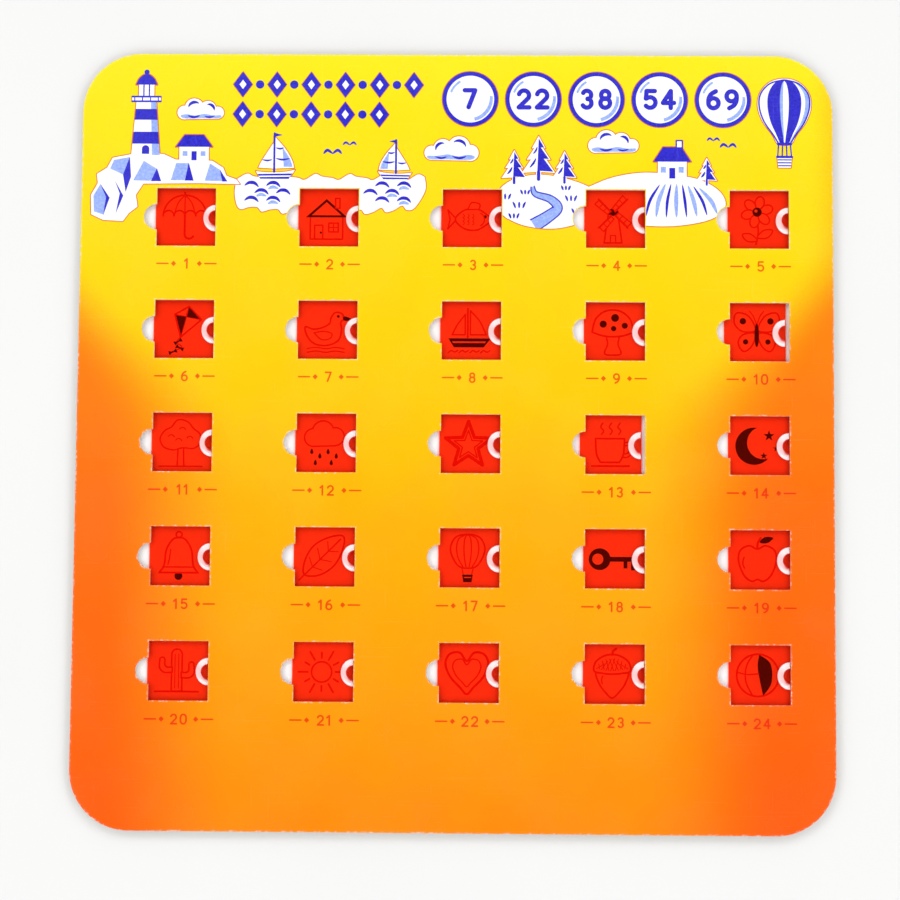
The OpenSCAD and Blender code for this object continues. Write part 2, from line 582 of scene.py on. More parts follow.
M_FACE = printed_face()
M_WHITE = ink("ink_white", (250, 250, 250), (255, 255, 255))
M_BLUE = ink("ink_blue", (22, 16, 176), (46, 40, 214))
M_SKY = ink("ink_sky", (132, 158, 240), (170, 192, 252))
M_LINE = ink("ink_outline", (206, 92, 12), (226, 118, 20))
M_CAPTION = caption_ink()
M_BLACK = ink("ink_black", (22, 18, 18), (40, 34, 34), gloss=False)
M_RED = ink("ink_red", (222, 72, 40), (236, 92, 56), gloss=False)
M_FRONT = chipboard("chipboard_front", (1.02, 1.0, 0.97), bleach=0.74)
M_TRACK = chipboard("chipboard_track", (0.93, 0.93, 0.94))
M_BACK = chipboard("chipboard_back", (0.97, 0.96, 0.95))
M_PICTURE = paper("picture_paper", (249, 249, 248), (255, 255, 254))
M_LINER = paper("back_paper", (222, 217, 206), (238, 234, 225), flecks=0.35, rough=(0.7, 0.85))
M_SHUTTER = shutter_plastic()


# ---------------------------------------------------------------- printed face
def round_rect_loop(w, h, r, n=20):
    out = []
    for cx, cy, a in ((w / 2 - r, h / 2 - r, 0), (-w / 2 + r, h / 2 - r, 90), (-w / 2 + r, -h / 2 + r, 180), (w / 2 - r, -h / 2 + r, 270)):
        out += arc(cx, cy, r, a, a + 90, n)
    return clean(out)


def along(a, b, step):
    n = max(1, round(math.hypot(b[0] - a[0], b[1] - a[1]) / step))
    return [(a[0] + (b[0] - a[0]) * i / n, a[1] + (b[1] - a[1]) * i / n) for i in range(n)]


def filled_in(loop, step):
    """The loop with its long sides cut into steps."""
    out = []
    for i, a in enumerate(loop):
        out += along(a, loop[(i + 1) % len(loop)], step)
    return out


def window_loop(cx, cy):
    w, h = WIN_W / 2, WIN_H / 2
    p = [(-w, -h), (w, -h), (w, h), (-w, h)] + arc(-w, 0, NOTCH_R, 90, 270, 22)
    return [(cx + x, cy + y) for x, y in filled_in(clean(p), 1.6)]


def sheet_solid(outer, holes, z0, z1, edge, rings, grid, low=0.0):
    """A die-cut sheet with its upper edges rolled over, and its lower ones too if low is given. Gives the points, the faces and each point's way to the cut edge."""
    quarter = [(edge * (1 - math.sin(a)), z1 - edge * 0.9 * (1 - math.cos(a))) for a in np.linspace(0, math.pi / 2, 5)]
    profile = quarter + ([(low * (1 - math.sin(a)), z0 + low * 0.9 * (1 - math.cos(a))) for a in np.linspace(math.pi / 2, 0, 4)] if low else [(0.0, z0)])
    verts, faces, reach = [], [], []
    loops = [(outer, -1.0)] + [(h, 1.0) for h in holes]
    starts = []
    for loop, way in loops:
        rows = []
        for d, z in profile:
            rows.append(len(verts))
            moved = grow(loop, way * d) if d else loop
            verts += [(x, y, z) for x, y in moved]
            reach += [d] * len(loop)
        n = len(loop)
        for a, b in zip(rows[:-1], rows[1:]):
            for i in range(n):
                j = (i + 1) % n
                f = (a + i, b + i, b + j, a + j)
                faces.append(f if way < 0 else f[::-1])
        starts.append((rows[0], rows[-1], n))
    # the top: the rolled edge, a ring or two inside it, and an even grid
    flat, index, face_loops, ring_edges = [], [], [], []
    for (top, _, n) in starts:
        face_loops.append(list(range(len(flat), len(flat) + n)))
        flat += [Vector(verts[top + i][:2]) for i in range(n)]
        index += [top + i for i in range(n)]
    for d in rings:
        for loop, way in loops:
            k = len(flat)
            moved = grow(loop, way * d)
            for x, y in moved:
                flat.append(Vector((x, y)))
                index.append(len(verts))
                verts.append((x, y, z1))
                reach.append(d)
            ring_edges += [(k + i, k + (i + 1) % len(moved)) for i in range(len(moved))]
    near = np.array([v[:] for v in flat])
    last = rings[-1] if rings else edge
    xs = np.arange(-CARD_W / 2 + grid / 2, CARD_W / 2, grid) if grid else []
    ys = np.arange(-CARD_H / 2 + grid / 2, CARD_H / 2, grid) if grid else []
    for iy, gy in enumerate(ys):
        for gx in xs + (grid / 2 if iy % 2 else 0.0):
            if not inside((gx, gy), outer) or any(in_box((gx, gy), h, 0.0) and inside((gx, gy), h) for h in holes):
                continue
            d = float(np.min(np.hypot(near[:, 0] - gx, near[:, 1] - gy)))
            if d < 0.45 * grid:
                continue
            flat.append(Vector((gx, gy)))
            index.append(len(verts))
            verts.append((gx, gy, z1))
            reach.append(min(5.0, d + last))
    cv, _, cf, origin_v, _, origin_f = delaunay_2d_cdt(flat, ring_edges, face_loops, 0, 1e-4)
    number = []
    for v, o in zip(cv, origin_v):
        if o:
            number.append(index[o[0]])
        else:
            number.append(len(verts))
            verts.append((v[0], v[1], z1))
            reach.append(0.0)
    for tri, over in zip(cf, origin_f):
        if 0 in over and len(over) == 1:
            faces.append(tuple(number[i] for i in upright(tri, cv)))
    # the underside
    flat, index, face_loops = [], [], []
    for (_, low, n) in starts:
        face_loops.append(list(range(len(flat), len(flat) + n)))
        flat += [Vector(verts[low + i][:2]) for i in range(n)]
        index += [low + i for i in range(n)]
    cv, _, cf, origin_v, _, origin_f = delaunay_2d_cdt(flat, [], face_loops, 0, 1e-4)
    for tri, over in zip(cf, origin_f):
        if 0 in over and len(over) == 1:
            faces.append(tuple(index[origin_v[i][0]] for i in upright(tri, cv))[::-1])
    return verts, faces, reach


def upright(tri, v):
    a, b, c = (v[i] for i in tri)
    s = (b[0] - a[0]) * (c[1] - a[1]) - (b[1] - a[1]) * (c[0] - a[0])
    return tri if s >= 0 else (tri[0], tri[2], tri[1])


def in_box(q, loop, more):
    a = np.array(loop)
    return bool((a.min(0) - more <= q).all() and (a.max(0) + more >= q).all())


def inside(q, loop):
    a = np.array(loop)
    b = np.roll(a, -1, 0)
    crossing = (a[:, 1] > q[1]) != (b[:, 1] > q[1])
    with np.errstate(divide="ignore", invalid="ignore"):
        x = a[:, 0] + (q[1] - a[:, 1]) / (b[:, 1] - a[:, 1]) * (b[:, 0] - a[:, 0])
    return bool(np.count_nonzero(crossing & (q[0] < x)) % 2)


card_loop = filled_in(round_rect_loop(CARD_W, CARD_H, CORNER_R), 4.0)
window_loops = [window_loop(col_x(c), row_y(r)) for r, c in CELLS]
verts, faces, reach = sheet_solid(card_loop, window_loops, Z_FACE0, Z_FACE1, 0.2, (0.7,), 5.0)
face = make_object("face_print", verts, faces, M_FACE, smooth=35, marks={"edge_mm": reach})
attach(face, "card")
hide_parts("face_sheet")


# ---------------------------------------------------------------- figures drawn with lines
DIGITS = {
    "0": [(spline([(0.5, 0), (0.46, 0.42), (0.26, 0.74), (0, 0.8), (-0.26, 0.74), (-0.46, 0.42), (-0.5, 0), (-0.46, -0.42), (-0.26, -0.74), (0, -0.8), (0.26, -0.74), (0.46, -0.42)], True, 4), True)],
    "1": [([(-0.3, 0.45), (0.08, 0.8), (0.08, -0.8)], False)],
    "2": [(arc(0, 0.33, 0.47, 165, -38, 14) + [(-0.48, -0.8), (0.5, -0.8)], False)],
    "3": [(arc(-0.02, 0.40, 0.40, 150, -80, 14), False), (arc(-0.02, -0.37, 0.43, 80, -150, 14), False)],
    "4": [([(0.22, -0.8), (0.22, 0.8), (-0.5, -0.32), (0.52, -0.32)], False)],
    "5": [([(0.42, 0.8), (-0.34, 0.8), (-0.40, 0.08)] + arc(-0.01, -0.29, 0.50, 128, -142, 14), False)],
    "6": [(circle(0, -0.33, 0.47, 22), True), (spline([(-0.47, -0.33), (-0.44, 0.1), (-0.22, 0.52), (0.22, 0.8)], False, 5), False)],
    "7": [([(-0.48, 0.8), (0.48, 0.8), (-0.12, -0.8)], False)],
    "8": [(circle(0, 0.41, 0.385, 20), True), (circle(0, -0.36, 0.445, 22), True)],
    "9": [(circle(0, 0.33, 0.47, 22), True), (spline([(0.47, 0.33), (0.44, -0.1), (0.22, -0.52), (-0.22, -0.8)], False, 5), False)],
}


def number(text, cx, cy, height, w, gap=0.42):
    """Polygons of a whole number, about its middle. height is over all and w is the line's width."""
    s = (height - w) / 1.6
    widths = {ch: (0.55 if ch == "1" else 1.0) for ch in text}
    total = sum(widths[ch] for ch in text) + gap * (len(text) - 1) + (w / s) * (len(text) - 1)
    x = -total / 2
    out = []
    for ch in text:
        mid = x + widths[ch] / 2
        for path, closed in DIGITS[ch]:
            out += stroke([(cx + s * (mid + px), cy + s * py) for px, py in path], w, closed)
        x += widths[ch] + gap + w / s
    return out


class Art:
    """Shapes in painted order. Each is an ink and a polygon."""

    def __init__(self):
        self.items = []

    def fill(self, ink_name, *polys):
        self.items += [(ink_name, p) for p in polys]

    def line(self, ink_name, path, w, closed=False):
        self.fill(ink_name, *stroke(path, w, closed))

    def white(self, *polys, edge=0.5):
        """White paper shapes that run together, with one thin outline round them all."""
        for p in polys:
            self.line("outline", p, edge, True)
        self.fill("white", *polys)


# ---------------------------------------------------------------- header art
def blade(path, w):
    """A brush mark along a path: widest half way, pointed at both ends."""
    p = np.array(spline(path, False, 8))
    t = np.gradient(p, axis=0)
    t /= np.maximum(np.linalg.norm(t, axis=1), 1e-9)[:, None]
    half = w / 2 * np.sin(np.pi * np.linspace(0, 1, len(p))) ** 0.75
    side = np.stack([-t[:, 1], t[:, 0]], 1) * half[:, None]
    return [tuple(q) for q in p + side] + [tuple(q) for q in (p - side)[::-1][1:-1]]


def taper(path, w0, w1):
    """A band along a path whose width goes from w0 to w1."""
    p = np.array(spline(path, False, 8))
    t = np.gradient(p, axis=0)
    t /= np.maximum(np.linalg.norm(t, axis=1), 1e-9)[:, None]
    side = np.stack([-t[:, 1], t[:, 0]], 1) * (np.linspace(w0, w1, len(p)) / 2)[:, None]
    return [tuple(q) for q in p + side] + [tuple(q) for q in (p - side)[::-1]]


def number_ball(cx, cy, text):
    a = Art()
    a.line("outline", circle(cx, cy, 7.55, 72), 0.4, True)
    a.fill("blue", circle(cx, cy, 7.55, 72))
    a.fill("white", circle(cx, cy, 6.45, 72))
    a.fill("sky", arc(cx, cy, 6.1, -78, 8, 22) + arc(cx - 0.45, cy + 0.45, 5.75, 5, -75, 22))
    a.line("sky", arc(cx, cy, 5.55, 122, 158, 10), 0.6)
    a.fill("blue", *number(text, cx - 0.1, cy + 0.1, 5.9, 1.25, 0.26))
    return a


def title_rows():
    a = Art()
    for y, n in ((96.4, 6), (88.2, 5)):
        for i in range(n):
            x = -58.2 + 9.3 * i
            a.line("outline", [(x - 2.6, y), (x, y - 3.5), (x + 2.6, y), (x, y + 3.5)], 0.3, True)
            a.fill("blue", [(x - 2.6, y), (x, y - 3.5), (x + 2.6, y), (x, y + 3.5)])
            a.fill("white", [(x - 0.95, y), (x, y - 1.3), (x + 0.95, y), (x, y + 1.3)])
            if i + 1 < n:
                a.fill("blue", circle(x + 4.65, y, 1.15, 24))
    return a


def headland():
    """A rock with a lighthouse and a keeper's cottage."""
    a = Art()
    rock = [
        (-98.8, 60.4), (-99.0, 65.8), (-97.2, 69.0), (-97.5, 71.5), (-94.7, 73.3), (-93.3, 76.0), (-88.8, 76.9), (-84.4, 77.8), (-79.2, 77.0),
        (-76.2, 75.6), (-66.2, 75.3), (-63.2, 73.4), (-62.3, 71.2), (-59.6, 70.2), (-58.6, 68.9), (-70.0, 69.1), (-84.8, 68.9), (-86.8, 65.8),
        (-86.3, 62.6), (-88.6, 60.8), (-90.2, 58.6), (-95.6, 58.9),
    ]
    cx = -84.4

    def P(q):
        return place(q, cx, 76.6)

    tower = P([(-3.9, 0), (3.9, 0), (2.7, 15.0), (-2.7, 15.0)])
    deck = P([(-3.9, 15.0), (3.9, 15.0), (3.9, 16.3), (-3.9, 16.3)])
    lamp = P([(-2.1, 16.3), (2.1, 16.3), (2.1, 19.6), (-2.1, 19.6)])
    roof = P([(-2.9, 19.6), (2.9, 19.6)] + spline([(2.9, 19.6), (1.9, 21.5), (0, 22.6), (-1.9, 21.5), (-2.9, 19.6)], False, 5)[1:-1])
    walls = [(-75.2, 75.2), (-67.2, 75.2), (-67.2, 79.2), (-75.2, 79.2)]
    gable = [(-76.2, 79.1), (-66.2, 79.1), (-68.6, 82.4), (-73.8, 82.4)]
    a.white(rock, tower, deck, lamp, roof, walls, gable)
    wide = lambda h: 3.9 - h / 15.0 * 1.2
    for lo, hi in ((3.3, 6.6), (9.9, 12.9)):
        a.fill("blue", P([(-wide(lo), lo), (wide(lo), lo), (wide(hi), hi), (-wide(hi), hi)]))
    for lo, hi in ((0.2, 3.3), (6.6, 9.9), (12.9, 14.8)):
        a.fill("sky", P([(wide(lo) * 0.45, lo), (wide(lo), lo), (wide(hi), hi), (wide(hi) * 0.45, hi)]))
    a.fill("blue", roof, circle(cx, 76.6 + 23.1, 0.7, 18))
    for y in (15.0, 16.3):
        a.line("blue", P([(-3.9, y), (3.9, y)]), 0.5)
    for x in (-3.2, -1.1, 1.1, 3.2):
        a.line("blue", P([(x, 15.0), (x, 16.3)]), 0.3)
    for x in (-0.75, 0.75):
        a.line("blue", P([(x, 16.4), (x, 19.5)]), 0.36)
    a.fill("blue", P(arc(0, 1.9, 1.0, 0, 180, 10) + [(-1.0, 0.5), (1.0, 0.5)]))
    a.fill("blue", gable)
    a.fill("blue", [(-71.9, 75.4), (-70.5, 75.4), (-70.5, 77.9), (-71.9, 77.9)])
    a.fill("sky", [(-74.3, 76.6), (-73.0, 76.6), (-73.0, 77.9), (-74.3, 77.9)], [(-69.4, 76.6), (-68.1, 76.6), (-68.1, 77.9), (-69.4, 77.9)])
    # light and dark sides of the rock
    a.fill(
        "sky",
        [(-98.1, 61.2), (-98.3, 65.6), (-96.5, 68.7), (-94.7, 65.2), (-95.6, 60.4)],
        [(-93.9, 73.0), (-92.9, 75.4), (-88.6, 76.2), (-90.4, 71.4)],
        [(-87.6, 69.8), (-84.8, 75.2), (-81.2, 73.0), (-82.8, 69.7)],
        [(-77.4, 69.9), (-76.0, 74.6), (-72.6, 74.6), (-73.6, 69.9)],
        [(-68.2, 69.8), (-66.8, 74.5), (-64.2, 72.9), (-63.4, 69.7)],
    )
    a.fill(
        "blue",
        [(-96.6, 69.0), (-94.9, 65.2), (-95.6, 60.0), (-93.9, 65.0)],
        [(-90.4, 71.4), (-88.6, 76.3), (-88.2, 70.8), (-89.6, 66.6)],
        [(-82.8, 69.6), (-81.2, 73.2), (-80.0, 69.6)],
        [(-73.6, 69.8), (-72.6, 74.8), (-71.2, 69.8)],
        [(-92.6, 69.8), (-91.2, 66.2), (-92.2, 60.6), (-90.2, 65.6)],
        [(-63.4, 69.6), (-64.2, 73.0), (-62.0, 69.6)],
    )
    return a


def sea():
    """Waves with two sailing boats on them."""
    a = Art()
    x0, x1, y, n = -59.6, -8.6, 70.4, 11
    step = (x1 - x0) / n
    crest = []
    for i in range(n + 1):
        crest.append((x0 + step * i, y + (0.7 if i % 2 else -0.2)))
        if i < n:
            crest.append((x0 + step * (i + 0.62), y + (1.4 if i % 2 == 0 else 0.3)))
    foot = [(-8.4, 67.4)]
    for i in range(9):
        x, sag = -11.2 - 5.6 * i, 2.2 * math.sin(math.pi * (i + 0.8) / 9.6)
        foot += [(x, 63.2 - sag), (x - 2.2, 62.6 - sag), (x - 3.4, 63.8 - sag)]
    foot.append((-60.0, 66.6))
    band = spline(crest, False, 5) + spline([crest[-1]] + foot + [crest[0]], False, 5)[1:-1]
    boats = [(-49.4, 0.86, False), (-16.4, 0.74, True)]
    hulls, sails = [], []
    for bx, s, flip in boats:
        P = lambda q: place(q, bx, y + 0.3, s, 0, flip)
        hulls.append(P([(-5.8, 2.1)] + spline([(-5.8, 2.1), (-2, 1.75), (3, 1.9), (6.6, 2.6)], False, 4)[1:] + spline([(6.6, 2.6), (5.3, 0.6), (3.7, -0.8)], False, 4)[1:] + [(-4.1, -0.8)]))
        sails.append(P([(-0.1, 2.9), (-0.1, 13.4)] + spline([(-0.1, 13.4), (3.4, 9.4), (5.6, 5.7), (6.3, 3.2)], False, 5)[1:]))
        sails.append(P([(0.1, 2.9), (0.1, 11.8)] + spline([(0.1, 11.8), (-2.2, 8.2), (-4.0, 5.3), (-5.0, 3.2)], False, 5)[1:]))
    a.white(*sails, *hulls, band)
    for bx, s, flip in boats:
        P = lambda q: place(q, bx, y + 0.3, s, 0, flip)
        a.fill("sky", P([(3.0, 3.5), (5.8, 3.5)] + spline([(5.8, 3.5), (4.9, 6.1), (2.5, 9.9)], False, 4)[1:]))
        a.fill("blue", blade(P([(0.4, 6.2), (2.6, 5.8), (5.0, 6.2)]), 0.55), blade(P([(0.4, 9.6), (1.8, 9.3), (3.0, 9.6)]), 0.5))
        a.fill("blue", blade(P([(-0.6, 5.8), (-2.2, 5.5), (-3.8, 5.8)]), 0.5))
        a.line("blue", P([(0, 1.9), (0, 14.2)]), 0.55)
        a.fill("blue", P([(0, 14.4), (2.6, 13.7), (0, 13.1)]))
        a.fill("blue", P([(-5.2, 1.2), (5.8, 1.4), (4.6, -0.35), (-4.4, -0.35)]))
        a.fill("white", P([(-4.8, 0.62), (5.25, 0.78), (4.95, 0.34), (-4.7, 0.2)]))
    window = grow(window_loops[1], 0.9)
    for row in range(4):
        for k in range(9):
            x, wy = -57.4 + 5.9 * k + (2.7 if row % 2 else 0.0), y - 1.9 - 2.05 * row
            mark = place([(0, 0), (1.3, 0.85), (2.8, 0.7), (3.9, -0.4)], x, wy)
            if all(inside(q, band) and not inside(q, window) for q in mark + place([(0, -1.5), (3.9, -1.7)], x, wy)):
                a.fill("blue", blade(mark, 0.95))
                if (row + k) % 2:
                    a.fill("sky", blade(place([(0.5, -0.9), (1.8, -0.35), (3.4, -0.8)], x, wy), 0.9))
    return a


def cloud(cx, cy, s=1.0, flip=False):
    a = Art()
    P = lambda q: place(q, cx, cy, s, 0, flip)
    a.white(*(P(q) for q in (circle(-6.2, 0.2, 2.6, 36), circle(-2.6, 2.0, 3.5, 44), circle(2.4, 1.6, 3.0, 40), circle(6.0, 0.2, 2.3, 36), [(-6.4, -2.3), (6.2, -2.1), (6.2, 1.0), (-6.4, 1.0)])))
    a.fill("sky", P(spline([(-7.6, -1.0), (-5.4, -0.4), (-2.4, -0.9), (1.0, -0.3), (4.4, -0.8), (7.3, -0.8), (6.4, -1.85), (0.6, -1.9), (-6.0, -2.0)])))
    a.fill("blue", blade(P(arc(-2.4, 1.7, 2.4, 170, 50, 8)), 0.85), blade(P(arc(2.7, 1.3, 2.0, 110, -10, 8)), 0.8))
    a.fill("blue", blade(P([(-5.0, -0.9), (-2.8, -1.5), (-0.4, -0.9)]), 0.65), blade(P([(1.2, -1.1), (3.0, -1.5), (5.0, -1.0)]), 0.55))
    return a


def hills():
    """Rolling fields with firs and a cottage."""
    a = Art()
    left = spline([(10.4, 65.0), (12.4, 68.6), (16.6, 71.0), (22.6, 71.9), (29.0, 71.0), (35.0, 69.0), (40.0, 66.0), (40.0, 60.4), (34.0, 58.6), (26.4, 57.0), (18.4, 57.8), (12.8, 60.6)])
    right = spline([(33.0, 66.4), (38.4, 69.8), (44.6, 71.8), (51.6, 72.6), (59.0, 72.0), (66.0, 70.6), (71.2, 67.4), (72.6, 63.4), (69.0, 60.0), (61.0, 58.2), (52.0, 58.0), (42.0, 59.4), (36.0, 61.6)])
    half = [(0, 10.5), (1.6, 7.5), (1.0, 7.6), (2.8, 4.8), (1.8, 4.9), (3.9, 1.7), (0.6, 1.9), (0.6, 0)]
    tree = half + [(-x, y) for x, y in half[::-1]][:-1]
    spots = [(15.6, 69.4, 0.88), (29.2, 69.6, 0.84), (22.2, 70.4, 1.16), (67.6, 69.2, 0.72)]
    walls = [(54.4, 70.9), (62.2, 70.9), (62.2, 75.8), (54.4, 75.8)]
    gable = [(53.2, 75.6), (63.4, 75.6), (60.8, 79.6), (55.8, 79.6)]
    flue = [(59.4, 78.8), (61.0, 78.8), (61.0, 81.4), (59.4, 81.4)]
    a.white(right, flue, walls, gable, *(place(tree, *q) for q in spots), left)
    # furrows run up the right-hand field to the cottage
    for k in range(8):
        low = (51.2 + 2.75 * k, 60.2 + 0.055 * (k - 2.5) ** 2)
        top = (55.0 + 1.5 * k, 69.6 - 0.045 * (k - 2) ** 2)
        mid = ((low[0] + top[0]) / 2 + 0.45 * (k - 3.5) * 0.5, (low[1] + top[1]) / 2)
        a.fill("sky" if k % 2 else "blue", blade([low, mid, top], 1.15 if k % 2 else 0.8))
    # a lane winds up the left-hand field
    lane = [(21.0, 58.0), (24.8, 60.4), (27.4, 62.8), (25.4, 65.2), (21.4, 66.6), (20.6, 68.6)]
    a.fill("sky", taper(lane, 3.6, 0.9))
    for way in (-1, 1):
        p = np.array(taper(lane, 3.6, 0.9))
        m = len(p) // 2
        a.line("blue", [tuple(q) for q in (p[:m] if way < 0 else p[m:])], 0.36)
    # the field's lower edge cuts the lane off
    rim = [q for q in left if q[1] < 60.0 and 14.0 < q[0] < 32.0]
    a.fill(None, rim + ([(13.0, 53.0), (33.0, 53.0)] if rim[0][0] > rim[-1][0] else [(33.0, 53.0), (13.0, 53.0)]))
    a.line("outline", rim, 0.25)
    for x, y, k in ((13.2, 65.0, 1.0), (17.0, 62.6, 1.1), (15.6, 59.8, 0.9), (31.0, 64.6, 1.0), (32.6, 61.2, 0.9), (18.6, 66.4, 0.8), (29.6, 67.6, 0.8)):
        for dx, lean in ((-0.9, -0.7), (0.0, 0.0), (0.9, 0.7)):
            a.fill("blue", blade(place([(dx, 0), (dx + lean * 0.4, 0.9), (dx + lean, 1.7)], x, y, k), 0.6))
    a.fill("blue", gable, [(57.5, 71.0), (59.1, 71.0), (59.1, 73.9), (57.5, 73.9)])
    a.line("blue", flue, 0.36, True)
    a.fill("sky", [(55.2, 72.6), (56.6, 72.6), (56.6, 74.2), (55.2, 74.2)], [(60.0, 72.6), (61.4, 72.6), (61.4, 74.2), (60.0, 74.2)])
    for x, y, s in spots:
        P = lambda q: place(q, x, y, s)
        a.fill("blue", P([(0.0, 9.9), (1.3, 7.7), (0.5, 7.7), (2.4, 5.0), (1.2, 5.05), (3.4, 2.0), (-0.3, 2.2)]))
        a.fill("blue", blade(P([(-0.3, 7.9), (-0.7, 6.9), (-1.3, 6.2)]), 0.5), blade(P([(-0.6, 5.2), (-1.2, 4.0), (-2.1, 2.9)]), 0.6))
        a.line("blue", P([(0, 1.9), (0, 0.2)]), 0.8 * s)
    return a


def air_balloon(cx, cy):
    a = Art()
    P = lambda q: place(q, cx, cy)
    bag = P(spline([(0, 10.6), (3.9, 9.6), (6.6, 6.6), (7.2, 2.8), (5.9, -1.2), (3.3, -4.8), (1.7, -7.4), (-1.7, -7.4), (-3.3, -4.8), (-5.9, -1.2), (-7.2, 2.8), (-6.6, 6.6), (-3.9, 9.6)]))
    basket = P([(-1.7, -13.9), (1.7, -13.9), (2.0, -10.9), (-2.0, -10.9)])
    a.white(bag, basket)

    def seam(k):
        # from the crown to the mouth at a share of the bag's half width
        return spline([(k * 0.4, 10.2), (k * 4.0, 9.2), (k * 6.6, 6.4), (k * 7.0, 2.8), (k * 5.7, -1.2), (k * 3.2, -4.8), (k * 1.7, -7.2)], False, 5)

    for ink_name, k0, k1 in (("blue", -0.62, -0.2), ("blue", 0.2, 0.62), ("sky", 0.80, 0.97), ("sky", -0.2, -0.05)):
        a.fill(ink_name, P(seam(k0) + seam(k1)[::-1]))
    for k in (-0.97, -0.62, -0.2, 0.2, 0.62, 0.97):
        a.line("blue", P(seam(k)), 0.42)
    a.line("blue", P([(-1.75, -7.4), (1.75, -7.4)]), 0.7)
    for x0, x1 in ((-1.6, -1.85), (1.6, 1.85), (-0.5, -0.65), (0.5, 0.65)):
        a.line("blue", P([(x0, -7.4), (x1, -10.9)]), 0.36)
    a.line("blue", P([(-2.0, -10.95), (2.0, -10.95)]), 0.65)
    for k in range(3):
        y = -11.75 - 0.8 * k
        a.line("blue", P([(-1.75 + 0.06 * k, y), (1.75 - 0.06 * k, y)]), 0.34)
    return a


def gulls(*spots):
    a = Art()
    for x, y, s in spots:
        for flip in (False, True):
            a.fill("blue", blade(place([(-2.5, -0.1), (-1.4, 0.95), (0.1, -0.1)], x, y, s, 0, flip), 0.8 * s))
    return a


header = [
    title_rows(),
    sea(),
    headland(),
    hills(),
    cloud(-69.4, 88.4, 0.74),
    cloud(-1.6, 77.6, 0.86, True),
    cloud(42.6, 79.8, 0.80),
    air_balloon(88.6, 88.0),
    gulls((-33.6, 77.4, 1.0), (-29.0, 79.8, 0.75), (73.4, 79.6, 0.9), (69.4, 81.4, 0.7)),
] + [number_ball(3.6 + 17.1 * i, 92.6, t) for i, t in enumerate(("7", "22", "38", "54", "69"))]


def caption(r, c, text):
    a = Art()
    x, y = col_x(c) + 0.3, row_y(r) - WIN_H / 2 - 4.9
    a.fill("caption", *number(text, x, y, 2.9, 0.46, 0.4))
    half = 2.6 if len(text) == 1 else 3.7
    for s in (-1, 1):
        a.fill("caption", [(x + s * (half + 0.9), y - 0.75), (x + s * (half + 1.6), y), (x + s * (half + 0.9), y + 0.75), (x + s * (half + 0.2), y)])
        a.line("caption", [(x + s * (half + 2.4), y), (x + s * (half + 5.4), y)], 0.40)
    return a


captions, count = [], 0
for r, c in CELLS:
    if (r, c) != (3, 3):
        count += 1
        captions.append(caption(r, c, str(count)))

INKS = {"white": M_WHITE, "blue": M_BLUE, "sky": M_SKY, "outline": M_LINE, "caption": M_CAPTION}
heaps = {k: Heap() for k in INKS}
whole = Art()
for part in header:
    whole.items += part.items
for group in [whole] + captions:
    # the windows are cut through the print
    cut = [(None, grow(w, 0.25)) for w in window_loops]
    box = np.array([q for _, p in group.items for q in p])
    lo, hi = box.min(0), box.max(0)
    cut = [q for q in cut if (np.array(q[1]).max(0) > lo).all() and (np.array(q[1]).min(0) < hi).all()]
    corners, found = overlay(group.items + cut)
    for k, tris in found.items():
        heaps[k].add(*slab(corners, tris, Z_FACE1 - 0.02, Z_FACE1 + 0.03))
for k, heap in heaps.items():
    o = make_object("print_" + k, heap.verts, heap.faces, INKS[k])
    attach(o, "card")


# ---------------------------------------------------------------- pictures under the shutters
class Picture(Art):
    """A line picture on white paper, about the middle of its window."""

    def pen(self, path, w=0.40, closed=False):
        self.line("red", path, w, closed)

    def solid(self, *polys):
        self.fill("black", *polys)

    def bare(self, *polys):
        self.fill(None, *polys)

    def shape(self, poly, w=0.40):
        self.bare(poly)
        self.pen(poly, w, True)


def p_tree():
    p = Picture()
    p.shape([(-0.9, -6.4), (0.9, -6.4), (0.7, -1.0), (-0.7, -1.0)])
    p.shape(spline([(-4.6, -1.2), (-5.6, 1.0), (-4.4, 3.2), (-2.6, 4.2), (-0.8, 6.2), (1.8, 5.6), (3.4, 3.8), (5.2, 2.2), (5.0, -0.4), (3.2, -1.6), (0.6, -1.4), (-2.0, -2.0)]))
    for x, y in ((-2.6, 1.2), (0.4, 3.2), (2.4, 0.8), (-0.6, 0.2)):
        p.pen(arc(x, y, 0.9, 20, 150, 6), 0.30)
    p.pen([(-5.8, -6.4), (5.8, -6.4)])
    return p


def p_house():
    p = Picture()
    p.shape([(-4.6, -5.6), (4.2, -5.6), (4.2, 0.6), (-4.6, 0.6)])
    p.solid([(-5.8, 0.4), (-0.2, 5.4), (5.4, 0.4)])
    p.bare([(-4.3, 0.95), (-0.2, 4.6), (3.9, 0.95)])
    p.shape([(2.2, 2.9), (3.4, 2.9), (3.4, 5.6), (2.2, 5.6)])
    p.shape([(-3.4, -5.6), (-1.2, -5.6), (-1.2, -1.8), (-3.4, -1.8)])
    p.shape([(0.4, -3.6), (3.0, -3.6), (3.0, -1.2), (0.4, -1.2)])
    p.pen([(1.7, -3.6), (1.7, -1.2)], 0.3)
    p.pen([(0.4, -2.4), (3.0, -2.4)], 0.3)
    p.solid(circle(-1.7, -3.8, 0.28, 12))
    return p


def p_sun():
    p = Picture()
    p.shape(circle(0, 0, 2.7, 40), 0.46)
    for k in range(12):
        a = math.radians(30 * k)
        r0, r1 = 3.7, 6.2 if k % 2 == 0 else 5.1
        p.pen([(r0 * math.cos(a), r0 * math.sin(a)), (r1 * math.cos(a), r1 * math.sin(a))], 0.5)
    return p


